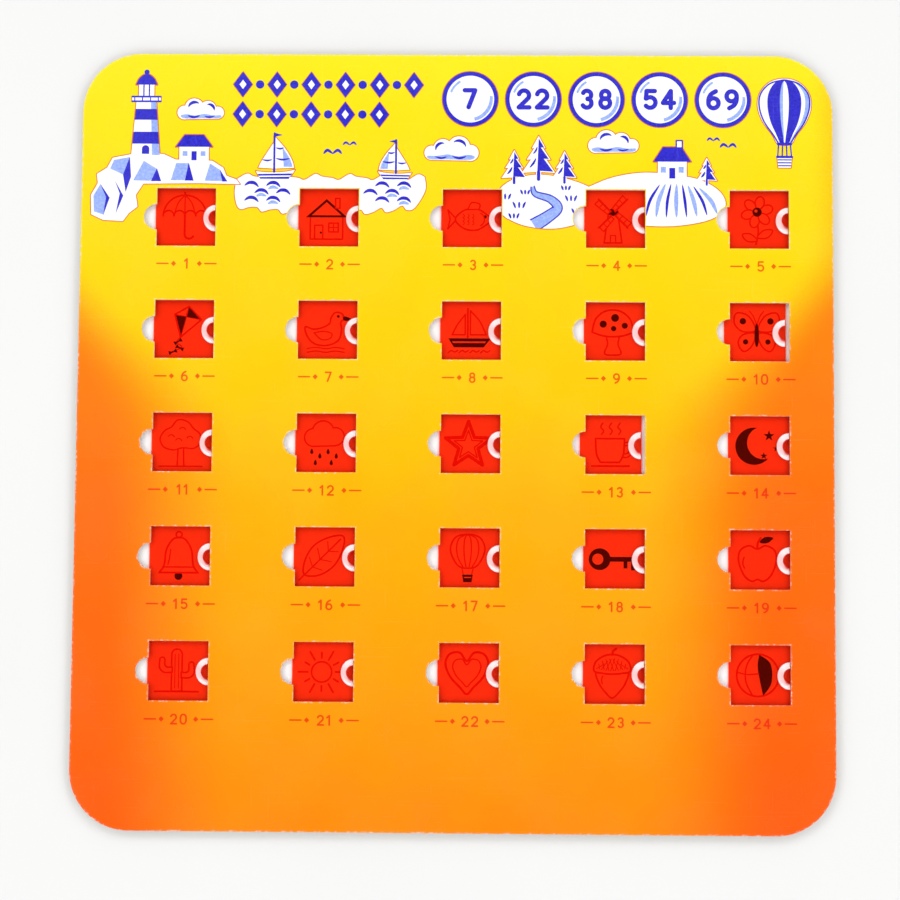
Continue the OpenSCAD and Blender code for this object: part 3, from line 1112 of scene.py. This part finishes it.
def p_rain():
    p = Picture()
    parts = [circle(-3.0, 1.6, 2.2, 30), circle(-0.4, 3.2, 2.7, 34), circle(2.9, 1.9, 2.2, 30), [(-3.1, -0.6), (3.0, -0.4), (3.0, 2.0), (-3.1, 2.0)]]
    for q in parts:
        p.pen(q, 0.80, True)
    p.bare(*parts)
    for x, y in ((-3.4, -2.4), (-1.2, -3.6), (1.0, -2.4), (3.2, -3.6), (-2.4, -5.4), (1.9, -5.4)):
        p.solid(spline([(x, y + 1.0), (x + 0.42, y), (x, y - 0.5), (x - 0.42, y)], True, 5))
    return p


def p_flower():
    p = Picture()
    p.pen(spline([(0.2, -0.6), (0.5, -3.2), (-0.1, -6.4)], False, 6), 0.5)
    p.shape(spline([(0.3, -4.6), (2.0, -2.6), (4.4, -2.6), (3.0, -4.6)], True, 6))
    p.shape(spline([(0.2, -5.4), (-1.6, -3.6), (-3.8, -3.8), (-2.4, -5.6)], True, 6))
    for k in range(6):
        p.shape(place(ellipse(2.6, 0, 1.75, 1.25, 0, 26), 0.2, 2.4, 1.0, 60 * k + 15))
    p.solid(circle(0.2, 2.4, 1.25, 26))
    p.bare(circle(-0.1, 2.7, 0.45, 14))
    return p


def p_boat():
    p = Picture()
    p.pen([(-0.4, -1.6), (-0.4, 6.2)], 0.5)
    p.shape([(0.3, -0.9), (0.3, 5.6)] + spline([(0.3, 5.6), (2.8, 2.8), (4.6, -0.9)], False, 5)[1:])
    p.shape([(-1.1, -0.9), (-1.1, 4.6)] + spline([(-1.1, 4.6), (-3.2, 1.8), (-4.6, -0.9)], False, 5)[1:])
    p.solid([(-5.6, -1.9), (5.8, -1.9), (3.9, -4.3), (-4.1, -4.3)])
    p.bare([(-4.6, -2.7), (4.6, -2.7), (4.3, -3.15), (-4.4, -3.15)])
    for k in range(4):
        x = -5.6 + 2.9 * k
        p.pen(spline([(x, -5.8), (x + 0.8, -5.2), (x + 1.7, -5.6), (x + 2.5, -5.2)], False, 4), 0.34)
    return p


def p_fish():
    p = Picture()
    p.shape([(-3.6, 0.0), (-6.0, 2.6), (-5.4, 0.0), (-6.0, -2.6)])
    p.shape(spline([(-4.0, 0.0), (-1.6, 2.5), (1.8, 2.9), (4.6, 1.3), (5.8, 0.0), (4.6, -1.3), (1.8, -2.9), (-1.6, -2.5)], True, 6), 0.46)
    p.shape(spline([(-0.6, 2.7), (0.4, 4.6), (2.6, 4.2), (2.4, 2.8)], False, 5), 0.36)
    p.solid(circle(4.1, 0.75, 0.42, 14))
    p.pen(arc(2.0, 0, 1.9, 62, -62, 10), 0.34)
    for x in (-2.0, -0.7, 0.6):
        for y in (-1.0, 0.0, 1.0):
            p.pen(arc(x, y, 0.45, 80, -80, 6), 0.24)
    return p


def p_duck():
    p = Picture()
    p.shape(spline([(-5.6, 1.0), (-3.4, 0.4), (-1.0, 0.8), (1.0, 2.0), (1.3, 3.4), (2.4, 4.9), (4.2, 4.7), (4.8, 3.3), (4.0, 2.2), (4.2, 0.2), (3.4, -2.6), (0.4, -4.0), (-3.0, -3.6), (-5.0, -1.6)], True, 6), 0.46)
    p.solid(spline([(4.8, 3.9), (6.6, 3.4), (6.5, 2.8), (4.8, 2.8)], True, 4))
    p.solid(circle(3.3, 3.9, 0.36, 14))
    p.pen(spline([(-3.2, -0.6), (-0.6, -0.2), (1.6, -0.8), (1.0, -2.2), (-1.2, -2.4), (-3.2, -0.6)], False, 6), 0.36)
    for y in (-4.9, -5.9):
        p.pen(spline([(-5.0, y), (-2.6, y + 0.35), (0.0, y), (2.6, y + 0.35), (5.0, y)], False, 5), 0.32)
    return p


def p_umbrella():
    p = Picture()
    p.pen([(0, 1.2), (0, -4.4)] + arc(1.25, -4.4, 1.25, 180, 330, 12), 0.55)
    dome = arc(0, 0.4, 5.9, 4, 176, 34)
    scallop = []
    for k in range(4):
        x0 = -5.9 + 2.95 * k
        scallop += arc(x0 + 1.475, 0.6, 1.475, 180, 0, 9)[:-1]
    p.shape(dome + scallop, 0.46)
    for x in (-2.95, 0.0, 2.95):
        p.pen(spline([(0, 6.3), (x * 0.62, 4.2), (x, 0.7)], False, 6), 0.32)
    p.pen([(0, 6.3), (0, 7.0)], 0.5)
    return p


def p_kite():
    p = Picture()
    top, right, low, left = (1.6, 6.4), (5.0, 2.8), (-0.6, -2.0), (-2.2, 4.2)
    p.shape([top, right, low, left], 0.46)
    p.pen([top, low], 0.34)
    p.pen([left, right], 0.34)
    p.solid([(1.6, 6.2), (4.6, 2.95), (1.05, 3.5)], [(-0.45, -1.5), (-1.9, 3.95), (0.85, 3.55)])
    p.pen(spline([(-0.6, -2.0), (-1.6, -3.4), (-0.2, -4.6), (-1.8, -5.6), (-3.6, -6.4)], False, 6), 0.32)
    for x, y, a in ((-1.25, -3.2, 30), (-0.75, -4.9, -25), (-2.6, -6.0, 20)):
        p.solid(place([(0, 0), (1.1, 0.6), (1.1, -0.6)], x, y, 1, a), place([(0, 0), (-1.1, 0.6), (-1.1, -0.6)], x, y, 1, a), circle(x, y, 0.25, 14))
    return p


def p_balloon():
    p = Picture()
    for x in (-1.1, 1.1):
        p.pen([(x * 1.5, -2.2), (x, -4.4)], 0.3)
    p.shape(spline([(0, 6.4), (3.2, 5.6), (4.6, 2.8), (3.9, 0.0), (1.9, -2.4), (-1.9, -2.4), (-3.9, 0.0), (-4.6, 2.8), (-3.2, 5.6)], True, 6), 0.46)
    for k in (-0.66, -0.22, 0.22, 0.66):
        p.pen(spline([(k * 0.8, 6.3), (k * 3.6, 5.2), (k * 4.5, 2.8), (k * 3.8, 0.0), (k * 1.9, -2.3)], False, 6), 0.34)
    p.solid([(-1.4, -4.4), (1.4, -4.4), (1.1, -6.4), (-1.1, -6.4)])
    p.bare([(-1.0, -5.0), (1.0, -5.0), (0.95, -5.3), (-0.95, -5.3)])
    return p


def p_apple():
    p = Picture()
    p.shape(spline([(0, 3.0), (2.2, 3.9), (4.6, 2.6), (5.0, -0.4), (3.6, -4.0), (1.6, -5.6), (0, -5.1), (-1.6, -5.6), (-3.6, -4.0), (-5.0, -0.4), (-4.6, 2.6), (-2.2, 3.9)], True, 6), 0.5)
    p.pen(spline([(0, 3.0), (0.1, 4.6), (0.9, 6.0)], False, 5), 0.55)
    p.solid(spline([(0.6, 4.8), (2.0, 6.2), (4.2, 6.0), (2.6, 4.6)], True, 5))
    p.pen(arc(-1.2, -0.6, 2.7, 150, 215, 8), 0.4)
    return p


def p_star():
    p = Picture()
    pts = []
    for k in range(10):
        r = 6.5 if k % 2 == 0 else 2.7
        a = math.radians(90 + 36 * k)
        pts.append((r * math.cos(a), r * math.sin(a) - 0.3))
    p.shape(pts, 0.9)
    p.pen([(x * 0.62, (y + 0.3) * 0.62 - 0.3) for x, y in pts], 0.36, True)
    return p


def p_mushroom():
    p = Picture()
    p.shape(spline([(-1.6, -0.6), (-1.4, -3.2), (-2.2, -5.8), (0, -6.2), (2.2, -5.8), (1.4, -3.2), (1.6, -0.6)], True, 6), 0.42)
    p.shape([(-5.6, 0.0)] + spline([(-5.6, 0.0), (-4.6, 3.6), (-1.8, 5.8), (1.8, 5.8), (4.6, 3.6), (5.6, 0.0)], False, 7)[1:] + spline([(5.6, 0.0), (2.6, -1.0), (0, -1.2), (-2.6, -1.0), (-5.6, 0.0)], False, 6)[1:-1], 0.48)
    for x, y, r in ((-2.6, 2.2, 0.95), (0.6, 3.9, 1.05), (3.2, 1.8, 0.8), (0.2, 1.0, 0.7)):
        p.solid(circle(x, y, r, 22))
    return p


def p_leaf():
    p = Picture()
    p.shape(spline([(-5.0, -4.6), (-4.8, -0.8), (-2.4, 3.2), (1.8, 5.4), (5.4, 5.6), (5.2, 2.0), (3.0, -2.2), (-1.0, -4.8)], True, 7), 0.46)
    p.pen(spline([(-6.4, -6.2), (-4.4, -4.2), (0.4, 0.6), (4.6, 4.8)], False, 7), 0.42)
    for x, y, dx, dy in ((-2.8, -2.6, -0.9, 2.6), (-0.8, -0.6, -0.7, 3.0), (1.4, 1.6, -0.2, 2.6), (-2.8, -2.6, 2.6, -0.9), (-0.8, -0.6, 3.0, -0.6), (1.4, 1.6, 2.6, -0.1)):
        p.pen([(x, y), (x + dx, y + dy)], 0.28)
    return p


def p_moon():
    p = Picture()
    p.solid(circle(-0.8, 0, 5.0, 56))
    p.bare(circle(1.7, 0.9, 4.4, 52))
    for x, y, s in ((3.2, 2.8, 1.5), (1.8, -2.6, 1.0), (5.2, -0.6, 0.9)):
        p.solid([(x + s * (1 if k % 2 == 0 else 0.4) * math.cos(math.radians(90 + 36 * k)), y + s * (1 if k % 2 == 0 else 0.4) * math.sin(math.radians(90 + 36 * k))) for k in range(10)])
    return p


def p_cup():
    p = Picture()
    p.shape(spline([(2.8, 0.6), (5.0, 0.8), (5.6, -1.4), (4.0, -3.2), (2.4, -3.0)], False, 6) + spline([(2.5, -2.2), (3.8, -2.2), (4.6, -1.2), (4.2, -0.1), (2.8, -0.2)], False, 6), 0.40)
    p.shape([(-4.6, 1.8), (3.2, 1.8)] + spline([(3.2, 1.8), (2.9, -2.4), (1.8, -4.6)], False, 6)[1:] + [(-3.2, -4.6)] + spline([(-3.2, -4.6), (-4.3, -2.4), (-4.6, 1.8)], False, 6)[1:-1], 0.48)
    p.pen([(-5.6, -5.6), (4.4, -5.6)], 0.5)
    for x in (-3.0, -0.7, 1.6):
        p.pen(spline([(x, 2.9), (x + 0.6, 3.9), (x - 0.2, 4.9), (x + 0.4, 6.0)], False, 5), 0.38)
    return p


def p_bell():
    p = Picture()
    p.solid(circle(0, -5.3, 1.05, 22))
    p.shape([(-5.2, -4.4)] + spline([(-5.2, -4.4), (-3.9, -2.4), (-3.4, 1.6), (-1.8, 4.4), (0, 5.0), (1.8, 4.4), (3.4, 1.6), (3.9, -2.4), (5.2, -4.4)], False, 6)[1:], 0.5)
    p.pen([(-4.1, -2.9), (4.1, -2.9)], 0.36)
    p.pen(spline([(-2.2, 1.8), (-2.5, -0.6), (-2.9, -2.2)], False, 5), 0.36)
    p.pen(circle(0, 5.8, 0.8, 18), 0.46, True)
    return p


def p_key():
    p = Picture()
    p.solid(circle(-3.4, 0, 2.9, 40))
    p.bare(circle(-3.9, 0, 1.5, 28))
    p.solid([(-0.8, -0.62), (6.2, -0.62), (6.2, 0.62), (-0.8, 0.62)])
    p.solid([(3.0, -2.4), (4.0, -2.4), (4.0, -0.5), (3.0, -0.5)], [(5.0, -2.9), (6.2, -2.9), (6.2, -0.5), (5.0, -0.5)])
    return p


def p_ball():
    p = Picture()
    p.shape(circle(0, 0, 5.6, 60), 0.5)
    p.solid(spline([(0.4, 5.5), (3.4, 3.0), (3.6, -2.0), (1.4, -5.4)], False, 7) + spline([(1.4, -5.4), (0.6, -1.6), (0.0, 2.2), (0.4, 5.5)], False, 7)[1:-1])
    p.pen(spline([(-1.2, 5.5), (-3.0, 2.4), (-3.2, -1.6), (-1.4, -5.4)], False, 7), 0.4)
    p.pen(spline([(-5.5, 0.8), (-2.8, 0.2), (0.2, 0.4)], False, 6), 0.36)
    return p


def p_heart():
    p = Picture()

    def heart(s):
        return place(spline([(0, 3.0), (1.9, 5.2), (4.6, 4.8), (5.7, 2.2), (4.4, -1.2), (1.8, -4.0), (0, -5.8), (-1.8, -4.0), (-4.4, -1.2), (-5.7, 2.2), (-4.6, 4.8), (-1.9, 5.2)], True, 6), 0, 0.2, s)

    p.shape(heart(1.0), 0.6)
    p.pen(heart(0.66), 0.36, True)
    return p


def p_butterfly():
    p = Picture()
    for f in (False, True):
        p.shape(place(spline([(0.3, 0.8), (2.2, 4.6), (5.4, 5.4), (6.0, 2.6), (3.8, 0.4)], True, 6), 0, 0, 1, 0, f), 0.44)
        p.shape(place(spline([(0.3, -0.2), (3.6, -0.4), (5.0, -2.6), (3.6, -5.0), (1.4, -3.6)], True, 6), 0, 0, 1, 0, f), 0.44)
        p.solid(place(circle(3.7, 3.2, 0.85, 20), 0, 0, 1, 0, f), place(circle(3.0, -2.4, 0.7, 18), 0, 0, 1, 0, f))
        p.pen(place(spline([(0.1, 2.4), (0.9, 4.6), (1.9, 5.9)], False, 5), 0, 0, 1, 0, f), 0.3)
    p.solid(ellipse(0, -0.6, 0.6, 3.2, 0, 30))
    return p


def p_windmill():
    p = Picture()
    p.shape([(-2.4, -6.2), (2.4, -6.2), (1.3, 1.6), (-1.3, 1.6)], 0.44)
    p.solid(arc(0, 1.5, 1.7, 0, 180, 14))
    p.shape([(-0.7, -6.2), (0.7, -6.2), (0.7, -4.2), (-0.7, -4.2)], 0.34)
    for k in range(4):
        def P(q):
            return place(q, 0, 1.8, 1.0, 45 + 90 * k)

        p.shape(P([(0.9, 0.15), (5.3, 0.15), (5.3, 1.7), (0.9, 1.2)]), 0.34)
        p.pen(P([(0, 0), (5.6, 0)]), 0.44)
        for x in (2.3, 3.8):
            p.pen(P([(x, 0.15), (x, 1.35 + 0.06 * x)]), 0.26)
    p.solid(circle(0, 1.8, 0.62, 18))
    return p


def p_cactus():
    p = Picture()
    for poly in (
        [(-1.4, -5.4)] + [(-1.4, 4.4)] + arc(0, 4.4, 1.4, 180, 0, 12)[1:-1] + [(1.4, 4.4), (1.4, -5.4)],
        spline([(1.2, -1.8), (3.4, -1.8), (4.6, -0.6), (4.6, 1.6)], False, 6) + arc(3.9, 1.7, 0.7, 0, 180, 8) + spline([(3.2, 1.6), (3.2, 0.2), (2.6, -0.4), (1.2, -0.4)], False, 6),
        spline([(-1.2, -0.4), (-3.4, -0.4), (-4.6, 0.8), (-4.6, 2.8)], False, 6)[::-1] + spline([(-1.2, 1.0), (-2.6, 1.0), (-3.2, 1.6), (-3.2, 2.8)], False, 6) + arc(-3.9, 2.9, 0.7, 0, 180, 8),
    ):
        p.shape(poly, 0.44)
    for x in (-0.5, 0.5):
        p.pen([(x, -4.6), (x, 4.4)], 0.26)
    p.pen([(-5.8, -5.5), (5.8, -5.5)], 0.5)
    return p


def p_acorn():
    p = Picture()
    p.shape(spline([(-3.8, 0.9), (-3.6, -2.2), (-1.8, -4.8), (0, -6.3), (1.8, -4.8), (3.6, -2.2), (3.8, 0.9)], True, 7), 0.48)
    p.shape(spline([(-4.8, 0.8), (-4.4, 3.2), (-2.2, 4.8), (0, 5.2), (2.2, 4.8), (4.4, 3.2), (4.8, 0.8), (2.4, 0.2), (0, 0.0), (-2.4, 0.2)], True, 7), 0.5)
    for k in range(-3, 4):
        p.pen([(k * 1.25 - 0.4, 0.9 + 0.06 * k * k), (k * 0.95 + 0.7, 4.1 - 0.16 * k * k)], 0.24)
        p.pen([(k * 1.25 + 0.4, 0.9 + 0.06 * k * k), (k * 0.95 - 0.7, 4.1 - 0.16 * k * k)], 0.24)
    p.pen(spline([(0, 5.2), (0.3, 6.2), (1.1, 6.8)], False, 5), 0.6)
    p.pen(arc(-0.6, -1.6, 2.2, 150, 205, 6), 0.34)
    return p


PICTURES = [
    p_umbrella, p_house, p_fish, p_windmill, p_flower,
    p_kite, p_duck, p_boat, p_mushroom, p_butterfly,
    p_tree, p_rain, p_star, p_cup, p_moon,
    p_bell, p_leaf, p_balloon, p_key, p_apple,
    p_cactus, p_sun, p_heart, p_acorn, p_ball,
]
heaps = {"red": Heap(), "black": Heap()}
for (r, c), draw in zip(CELLS, PICTURES):
    corners, found = overlay([(k, place(q, col_x(c) - 0.6, row_y(r))) for k, q in draw().items])
    for k, tris in found.items():
        heaps[k].add(*slab(corners, tris, Z_PICT1 - 0.02, Z_PICT1 + 0.025))
for k, m in (("red", M_RED), ("black", M_BLACK)):
    o = make_object("picture_" + k, heaps[k].verts, heaps[k].faces, m)
    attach(o, "card")


# ---------------------------------------------------------------- shutters
def filleted(points, radii, n=6):
    """A polyline with its inner corners rounded."""
    out = [points[0]]
    for a, b, c, r in zip(points[:-2], points[1:-1], points[2:], radii):
        a, b, c = (np.array(q, float) for q in (a, b, c))
        u, v = (a - b) / np.linalg.norm(a - b), (c - b) / np.linalg.norm(c - b)
        half = math.acos(max(-1, min(1, float(u @ v)))) / 2
        reach = r / math.tan(half)
        centre = b + (u + v) / np.linalg.norm(u + v) * (r / math.sin(half))
        p, q = b + u * reach - centre, b + v * reach - centre
        a0, a1 = math.atan2(p[1], p[0]), math.atan2(q[1], q[0])
        turn = (a1 - a0 + math.pi) % (2 * math.pi) - math.pi
        out += [(centre[0] + r * math.cos(a0 + turn * i / n), centre[1] + r * math.sin(a0 + turn * i / n)) for i in range(n + 1)]
    return out + [points[-1]]


def shutter_mesh(z0, z1, zb):
    """One closed skin: a plate with eased edges, and on it a half-round bump with a sloped rim and a dished top.
    In mm about the window's middle. The last value is how strong the painted highlight is at each point."""
    verts, faces, rim = [], [], []

    def add(x, y, z, m=0.0):
        verts.append((x, y, z))
        rim.append(m)
        return len(verts) - 1

    def frost(x, y):
        # a painted highlight band from half way up the bump's slope to just past its foot, strongest at its two ends
        q = math.hypot(x / 0.92, (y + 0.15) / 1.02)
        ends = min(1.0, 1.6 * (y / max(math.hypot(x, y), 1e-6)) ** 2)
        return max(0.0, min(1.0, (q - 1.80) / 0.35)) * max(0.0, min(1.0, (3.68 - q) / 0.3)) * (0.72 + 0.28 * ends)

    # bump: rings of points from its foot to its middle
    h = zb - z1
    foot = BUMP_R
    profile = filleted(
        [(foot + 0.0, 0.0), (foot - 0.10, 0.03), (foot - 1.30, h), (foot - 1.85, h - 0.02), (0.0, h - 0.24)],
        [0.12, 0.34, 0.9], 7)
    profile = [q for i, q in enumerate(profile) if i == 0 or q[0] < profile[i - 1][0] - 0.012]
    turns = [90, 91.2, 92.8, 95, 98, 102] + list(np.linspace(107, 253, 34)) + [258, 262, 265, 267.2, 268.8, 270]
    grid = []
    for r, z in profile[:-1]:
        row = []
        for a in turns:
            x, y = r * math.cos(math.radians(a)), r * math.sin(math.radians(a))
            ease = max(0.0, 1.0 + x / 0.16) if x > -0.16 else 0.0
            drop = min(z, 0.11) * (1 - math.sqrt(max(0.0, 1 - ease * ease)))
            # each point of the bump gets its painted highlight strength
            row.append(add(BUMP_X + x, y, z1 + z - drop, frost(x, y)))
        grid.append(row)
    tip_z = profile[-1][1]
    tip = add(BUMP_X, 0.0, z1 + tip_z - min(tip_z, 0.11))
    for a, b in zip(grid[:-1], grid[1:]):
        for i in range(len(turns) - 1):
            faces.append((a[i], a[i + 1], b[i + 1], b[i]))
    last = grid[-1]
    for i in range(len(turns) - 1):
        faces.append((last[i], last[i + 1], tip))
    # the bump's flat side, down to the plate
    upper = [row[0] for row in grid] + [tip] + [row[-1] for row in grid[::-1]]
    lower = [i if verts[i][2] - z1 < 1e-6 else add(BUMP_X, verts[i][1], z1) for i in upper]
    for i in range(len(upper) - 1):
        quad = [upper[i], upper[i + 1], lower[i + 1], lower[i]]
        kept = [q for k, q in enumerate(quad) if q not in quad[:k]]
        if len(kept) > 2:
            faces.append(tuple(kept))
    hole = grid[0] + lower[::-1][1:-1]
    # plate
    w, hgt, cx, e = PLATE_R - PLATE_L, PLATE_H, (PLATE_L + PLATE_R) / 2, 0.12
    outline = filled_in(round_rect_loop(w, hgt, 0.8, 8), 1.5)
    rows = []
    for k in range(5):
        a = math.pi / 2 * k / 4
        rows.append((e * (1 - math.sin(a)), z1 - e * (1 - math.cos(a))))
    rows += [(d, z0 + z1 - z) for d, z in rows[::-1]]
    rings = []
    for d, z in rows:
        loop = grow(outline, -d) if d > 1e-9 else outline
        rings.append([add(cx + x, y, z) for x, y in loop])
    n = len(outline)
    for a, b in zip(rings[:-1], rings[1:]):
        for i in range(n):
            j = (i + 1) % n
            faces.append((a[i], b[i], b[j], a[j]))
    flat = [Vector(verts[i][:2]) for i in rings[0]] + [Vector(verts[i][:2]) for i in hole]
    index = rings[0] + hole
    loops = [list(range(n)), list(range(n, n + len(hole)))]
    extra = []
    for gx in np.arange(PLATE_L + 1.2, PLATE_R - 0.6, 1.5):
        for gy in np.arange(-8.4, 8.5, 1.4):
            if math.hypot(gx - BUMP_X, gy) > BUMP_R + 1.3 and gx < PLATE_R - 0.6:
                extra.append((gx, gy))
    # rings round the bump's foot carry the painted highlight out onto the plate
    for more in (0.18, 0.36, 0.54, 0.72, 0.95):
        extra += arc(BUMP_X, 0.0, BUMP_R + more, 91, 269, 44)
    for gx, gy in extra:
        flat.append(Vector((gx, gy)))
        index.append(add(gx, gy, z1, frost(gx - BUMP_X, gy)))
    cv, _, cf, origin_v, _, origin_f = delaunay_2d_cdt(flat, [], loops, 0, 1e-4)
    for tri, over in zip(cf, origin_f):
        if over == [0]:
            faces.append(tuple(index[origin_v[i][0]] for i in upright(tri, cv)))
    flat = [Vector(verts[i][:2]) for i in rings[-1]]
    index = list(rings[-1])
    cv, _, cf, origin_v, _, origin_f = delaunay_2d_cdt(flat, [], [list(range(n))], 0, 1e-4)
    for tri, over in zip(cf, origin_f):
        if over:
            faces.append(tuple(index[origin_v[i][0]] for i in upright(tri, cv))[::-1])
    return verts, faces, rim


lo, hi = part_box("shutter_r1c1")
PLATE_Z0 = lo.z / MM
S_VERTS, S_FACES, S_RIM_HIGHLIGHT = shutter_mesh(PLATE_Z0, PLATE_Z0 + 0.7, hi.z / MM)
S_OUT = [0.0 if z < PLATE_Z0 + 0.2 else 1.0 for _, _, z in S_VERTS]
for r, c in CELLS:
    node = f"shutter_r{r}c{c}"
    lo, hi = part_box(node)
    dx, dy = lo.x / MM - PLATE_L, (lo.y + hi.y) / 2 / MM
    # the rim mark holds the painted highlight strength
    o = make_object(f"slider_r{r}c{c}", [(x + dx, y + dy, z) for x, y, z in S_VERTS], S_FACES, M_SHUTTER, smooth=40, marks={"rim": S_RIM_HIGHLIGHT, "outside": S_OUT})
    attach(o, node)
    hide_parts(node)


# ---------------------------------------------------------------- boards and papers under the face
def die_cut(loop, inset, sway, seed):
    """A loop set in a little, by a way that drifts along it as a worn cutting rule leaves it."""
    p = np.array(loop)
    side = np.linalg.norm(np.roll(p, -1, 0) - p, axis=1)
    turn = 2 * np.pi * np.concatenate([[0.0], np.cumsum(side)[:-1]]) / side.sum()
    drift = sum(math.cos(1.7 * seed + k) * np.sin(k * turn + 0.9 * seed * k) for k in (3, 7, 12, 19, 31))
    return grow(loop, -inset + sway * drift / 2.5)


def pocket_loop(cx, cy):
    x0, x1, h = PLATE_L - 15.8 - 0.35, PLATE_R + 0.35, PLATE_H / 2 + 0.2
    loop = filled_in(round_rect_loop(x1 - x0, 2 * h, 0.35, 4), 4.0)
    return [(cx + x + (x0 + x1) / 2, cy + y) for x, y in loop]


def turned_over(verts, faces, z0, z1):
    return [(x, y, z0 + z1 - z) for x, y, z in verts], [f[::-1] for f in faces]


rim_loop = filled_in(round_rect_loop(CARD_W, CARD_H, CORNER_R), 2.5)
pockets = [pocket_loop(col_x(c), row_y(r)) for r, c in CELLS]
for seed, (node, m, slot, holes, inset, sway, edge, low) in enumerate((
    ("front_board", M_FRONT, "chipboard", [die_cut(w, -0.06, 0.02, 0.3 * i) for i, w in enumerate(window_loops)], 0.07, 0.03, 0.06, 0.06),
    ("track_board", M_TRACK, "chipboard", pockets, 0.11, 0.04, 0.08, 0.08),
    ("picture_sheet", M_PICTURE, "picture_paper", [], 0.05, 0.02, 0.05, 0.05),
    ("back_board", M_BACK, "chipboard", [], 0.09, 0.04, 0.10, 0.08),
    ("back_sheet", M_LINER, "back_paper", [], 0.03, 0.01, 0.10, 0.0),
)):
    z0, z1 = levels(node)
    outer = die_cut(rim_loop, inset, sway, seed + 1)
    if node == "back_sheet":
        verts, faces, reach = sheet_solid(outer, holes, z0, z1, edge, (0.6, 2.4), 9.0)
        verts, faces = turned_over(verts, faces, z0, z1)
    else:
        verts, faces, reach = sheet_solid(outer, holes, z0, z1, edge, (), None, low)
    o = make_object(node + "_cut", verts, faces, m, smooth=50, marks={"edge_mm": reach})
    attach(o, "card")
    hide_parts(node)


# ---------------------------------------------------------------- stage, light, camera
def stage_floor():
    t = Tree("floor_pale")
    cloud = t.noise(0.01, 3.0)
    colour = t.ramp(cloud, [(0.3, linear((234, 234, 233))), (0.7, linear((236, 236, 235)))])
    m = t.done(t.shade(colour, 0.9, None, **{"Specular IOR Level": 0.1}))
    o = make_object("floor", [(-3000, -3000, 0), (3000, -3000, 0), (3000, 3000, 0), (-3000, 3000, 0)], [(0, 1, 2, 3)], m)
    o.location.z = -0.00004


stage_floor()

scene = bpy.context.scene
scene.view_settings.view_transform = "Standard"
scene.view_settings.look = "None"
scene.view_settings.exposure = 0.0
scene.view_settings.gamma = 1.0

world = bpy.data.worlds.new("studio")
scene.world = world
world.use_nodes = True
wn = world.node_tree
wn.nodes.clear()
w_out = wn.nodes.new("ShaderNodeOutputWorld")
w_bg = wn.nodes.new("ShaderNodeBackground")
w_pos = wn.nodes.new("ShaderNodeTexCoord")
w_xyz = wn.nodes.new("ShaderNodeSeparateXYZ")
w_ramp = wn.nodes.new("ShaderNodeValToRGB")
# pale all round, brightest high up, with a dim patch overhead so that the film shows no glare
for at in (0.2, 0.3, 0.4, 0.6, 0.8):
    w_ramp.color_ramp.elements.new(at)
for k, (at, grey) in zip(w_ramp.color_ramp.elements, ((0.0, 0.64), (0.10, 0.62), (0.24, 0.50), (0.45, 0.62), (0.70, 1.0), (0.90, 1.0), (0.96, 0.05))):
    k.position = at
    k.color = (grey, grey, grey, 1)
wn.links.new(w_pos.outputs["Generated"], w_xyz.inputs[0])
wn.links.new(w_xyz.outputs["Z"], w_ramp.inputs["Fac"])
wn.links.new(w_ramp.outputs["Color"], w_bg.inputs["Color"])
w_bg.inputs["Strength"].default_value = 1.13
wn.links.new(w_bg.outputs[0], w_out.inputs["Surface"])


def softbox(name, azimuth, elevation, distance, size_x, size_y, watts):
    """A soft lamp that looks at the card. Azimuth 0 is below the card's bottom edge, 90 on its right."""
    a, e = math.radians(azimuth), math.radians(elevation)
    way = Vector((math.sin(a) * math.cos(e), -math.cos(a) * math.cos(e), math.sin(e)))
    lamp = bpy.data.lights.new(name, "AREA")
    lamp.shape = "RECTANGLE"
    lamp.size, lamp.size_y = size_x, size_y
    lamp.energy = watts
    o = bpy.data.objects.new(name, lamp)
    o.matrix_world = Matrix.Translation(way * distance) @ way.to_track_quat("Z", "Y").to_matrix().to_4x4()
    scene.collection.objects.link(o)


softbox("key_front", 0, 61, 1.25, 1.3, 0.40, 1.85)
softbox("key_back", 180, 61, 1.25, 1.3, 0.40, 1.85)
softbox("fill_left", 270, 60, 1.25, 1.3, 0.40, 1.65)
softbox("fill_right", 90, 60, 1.25, 1.3, 0.40, 1.65)


def place_camera():
    """The photograph's view of the card, found by fitting its window edges: f is 2576 pixels at 900 wide."""
    rx, ry, rz = math.radians(-5.37), math.radians(0.94), math.radians(0.37)
    cz, sz, cy, sy, cx, sx = math.cos(rz), math.sin(rz), math.cos(ry), math.sin(ry), math.cos(rx), math.sin(rx)
    turn = np.array([[cz, -sz, 0], [sz, cz, 0], [0, 0, 1]]) @ np.array([[cy, 0, sy], [0, 1, 0], [-sy, 0, cy]]) @ np.array([[1, 0, 0], [0, cx, -sx], [0, sx, cx]])
    shift = np.array([5.76, -32.16, 692.8])
    eye = -turn.T @ shift
    here = Vector((eye[0] + col_x(3), row_y(2) - eye[1], Z_FACE1 - eye[2])) * MM
    axes = [turn.T @ np.array(v, float) for v in ((1, 0, 0), (0, -1, 0), (0, 0, -1))]
    axes = [Vector((v[0], -v[1], -v[2])) for v in axes]
    cam = bpy.data.cameras.new("camera")
    cam.sensor_fit = "HORIZONTAL"
    cam.sensor_width = 36.0
    cam.lens = 2576 / 900 * 36.0
    cam.clip_start, cam.clip_end = 0.01, 20.0
    o = bpy.data.objects.new("camera", cam)
    m = Matrix.Identity(4)
    for k, v in enumerate(axes):
        for i in range(3):
            m[i][k] = v[i]
    m.translation = here
    o.matrix_world = m
    scene.collection.objects.link(o)
    scene.camera = o


place_camera()
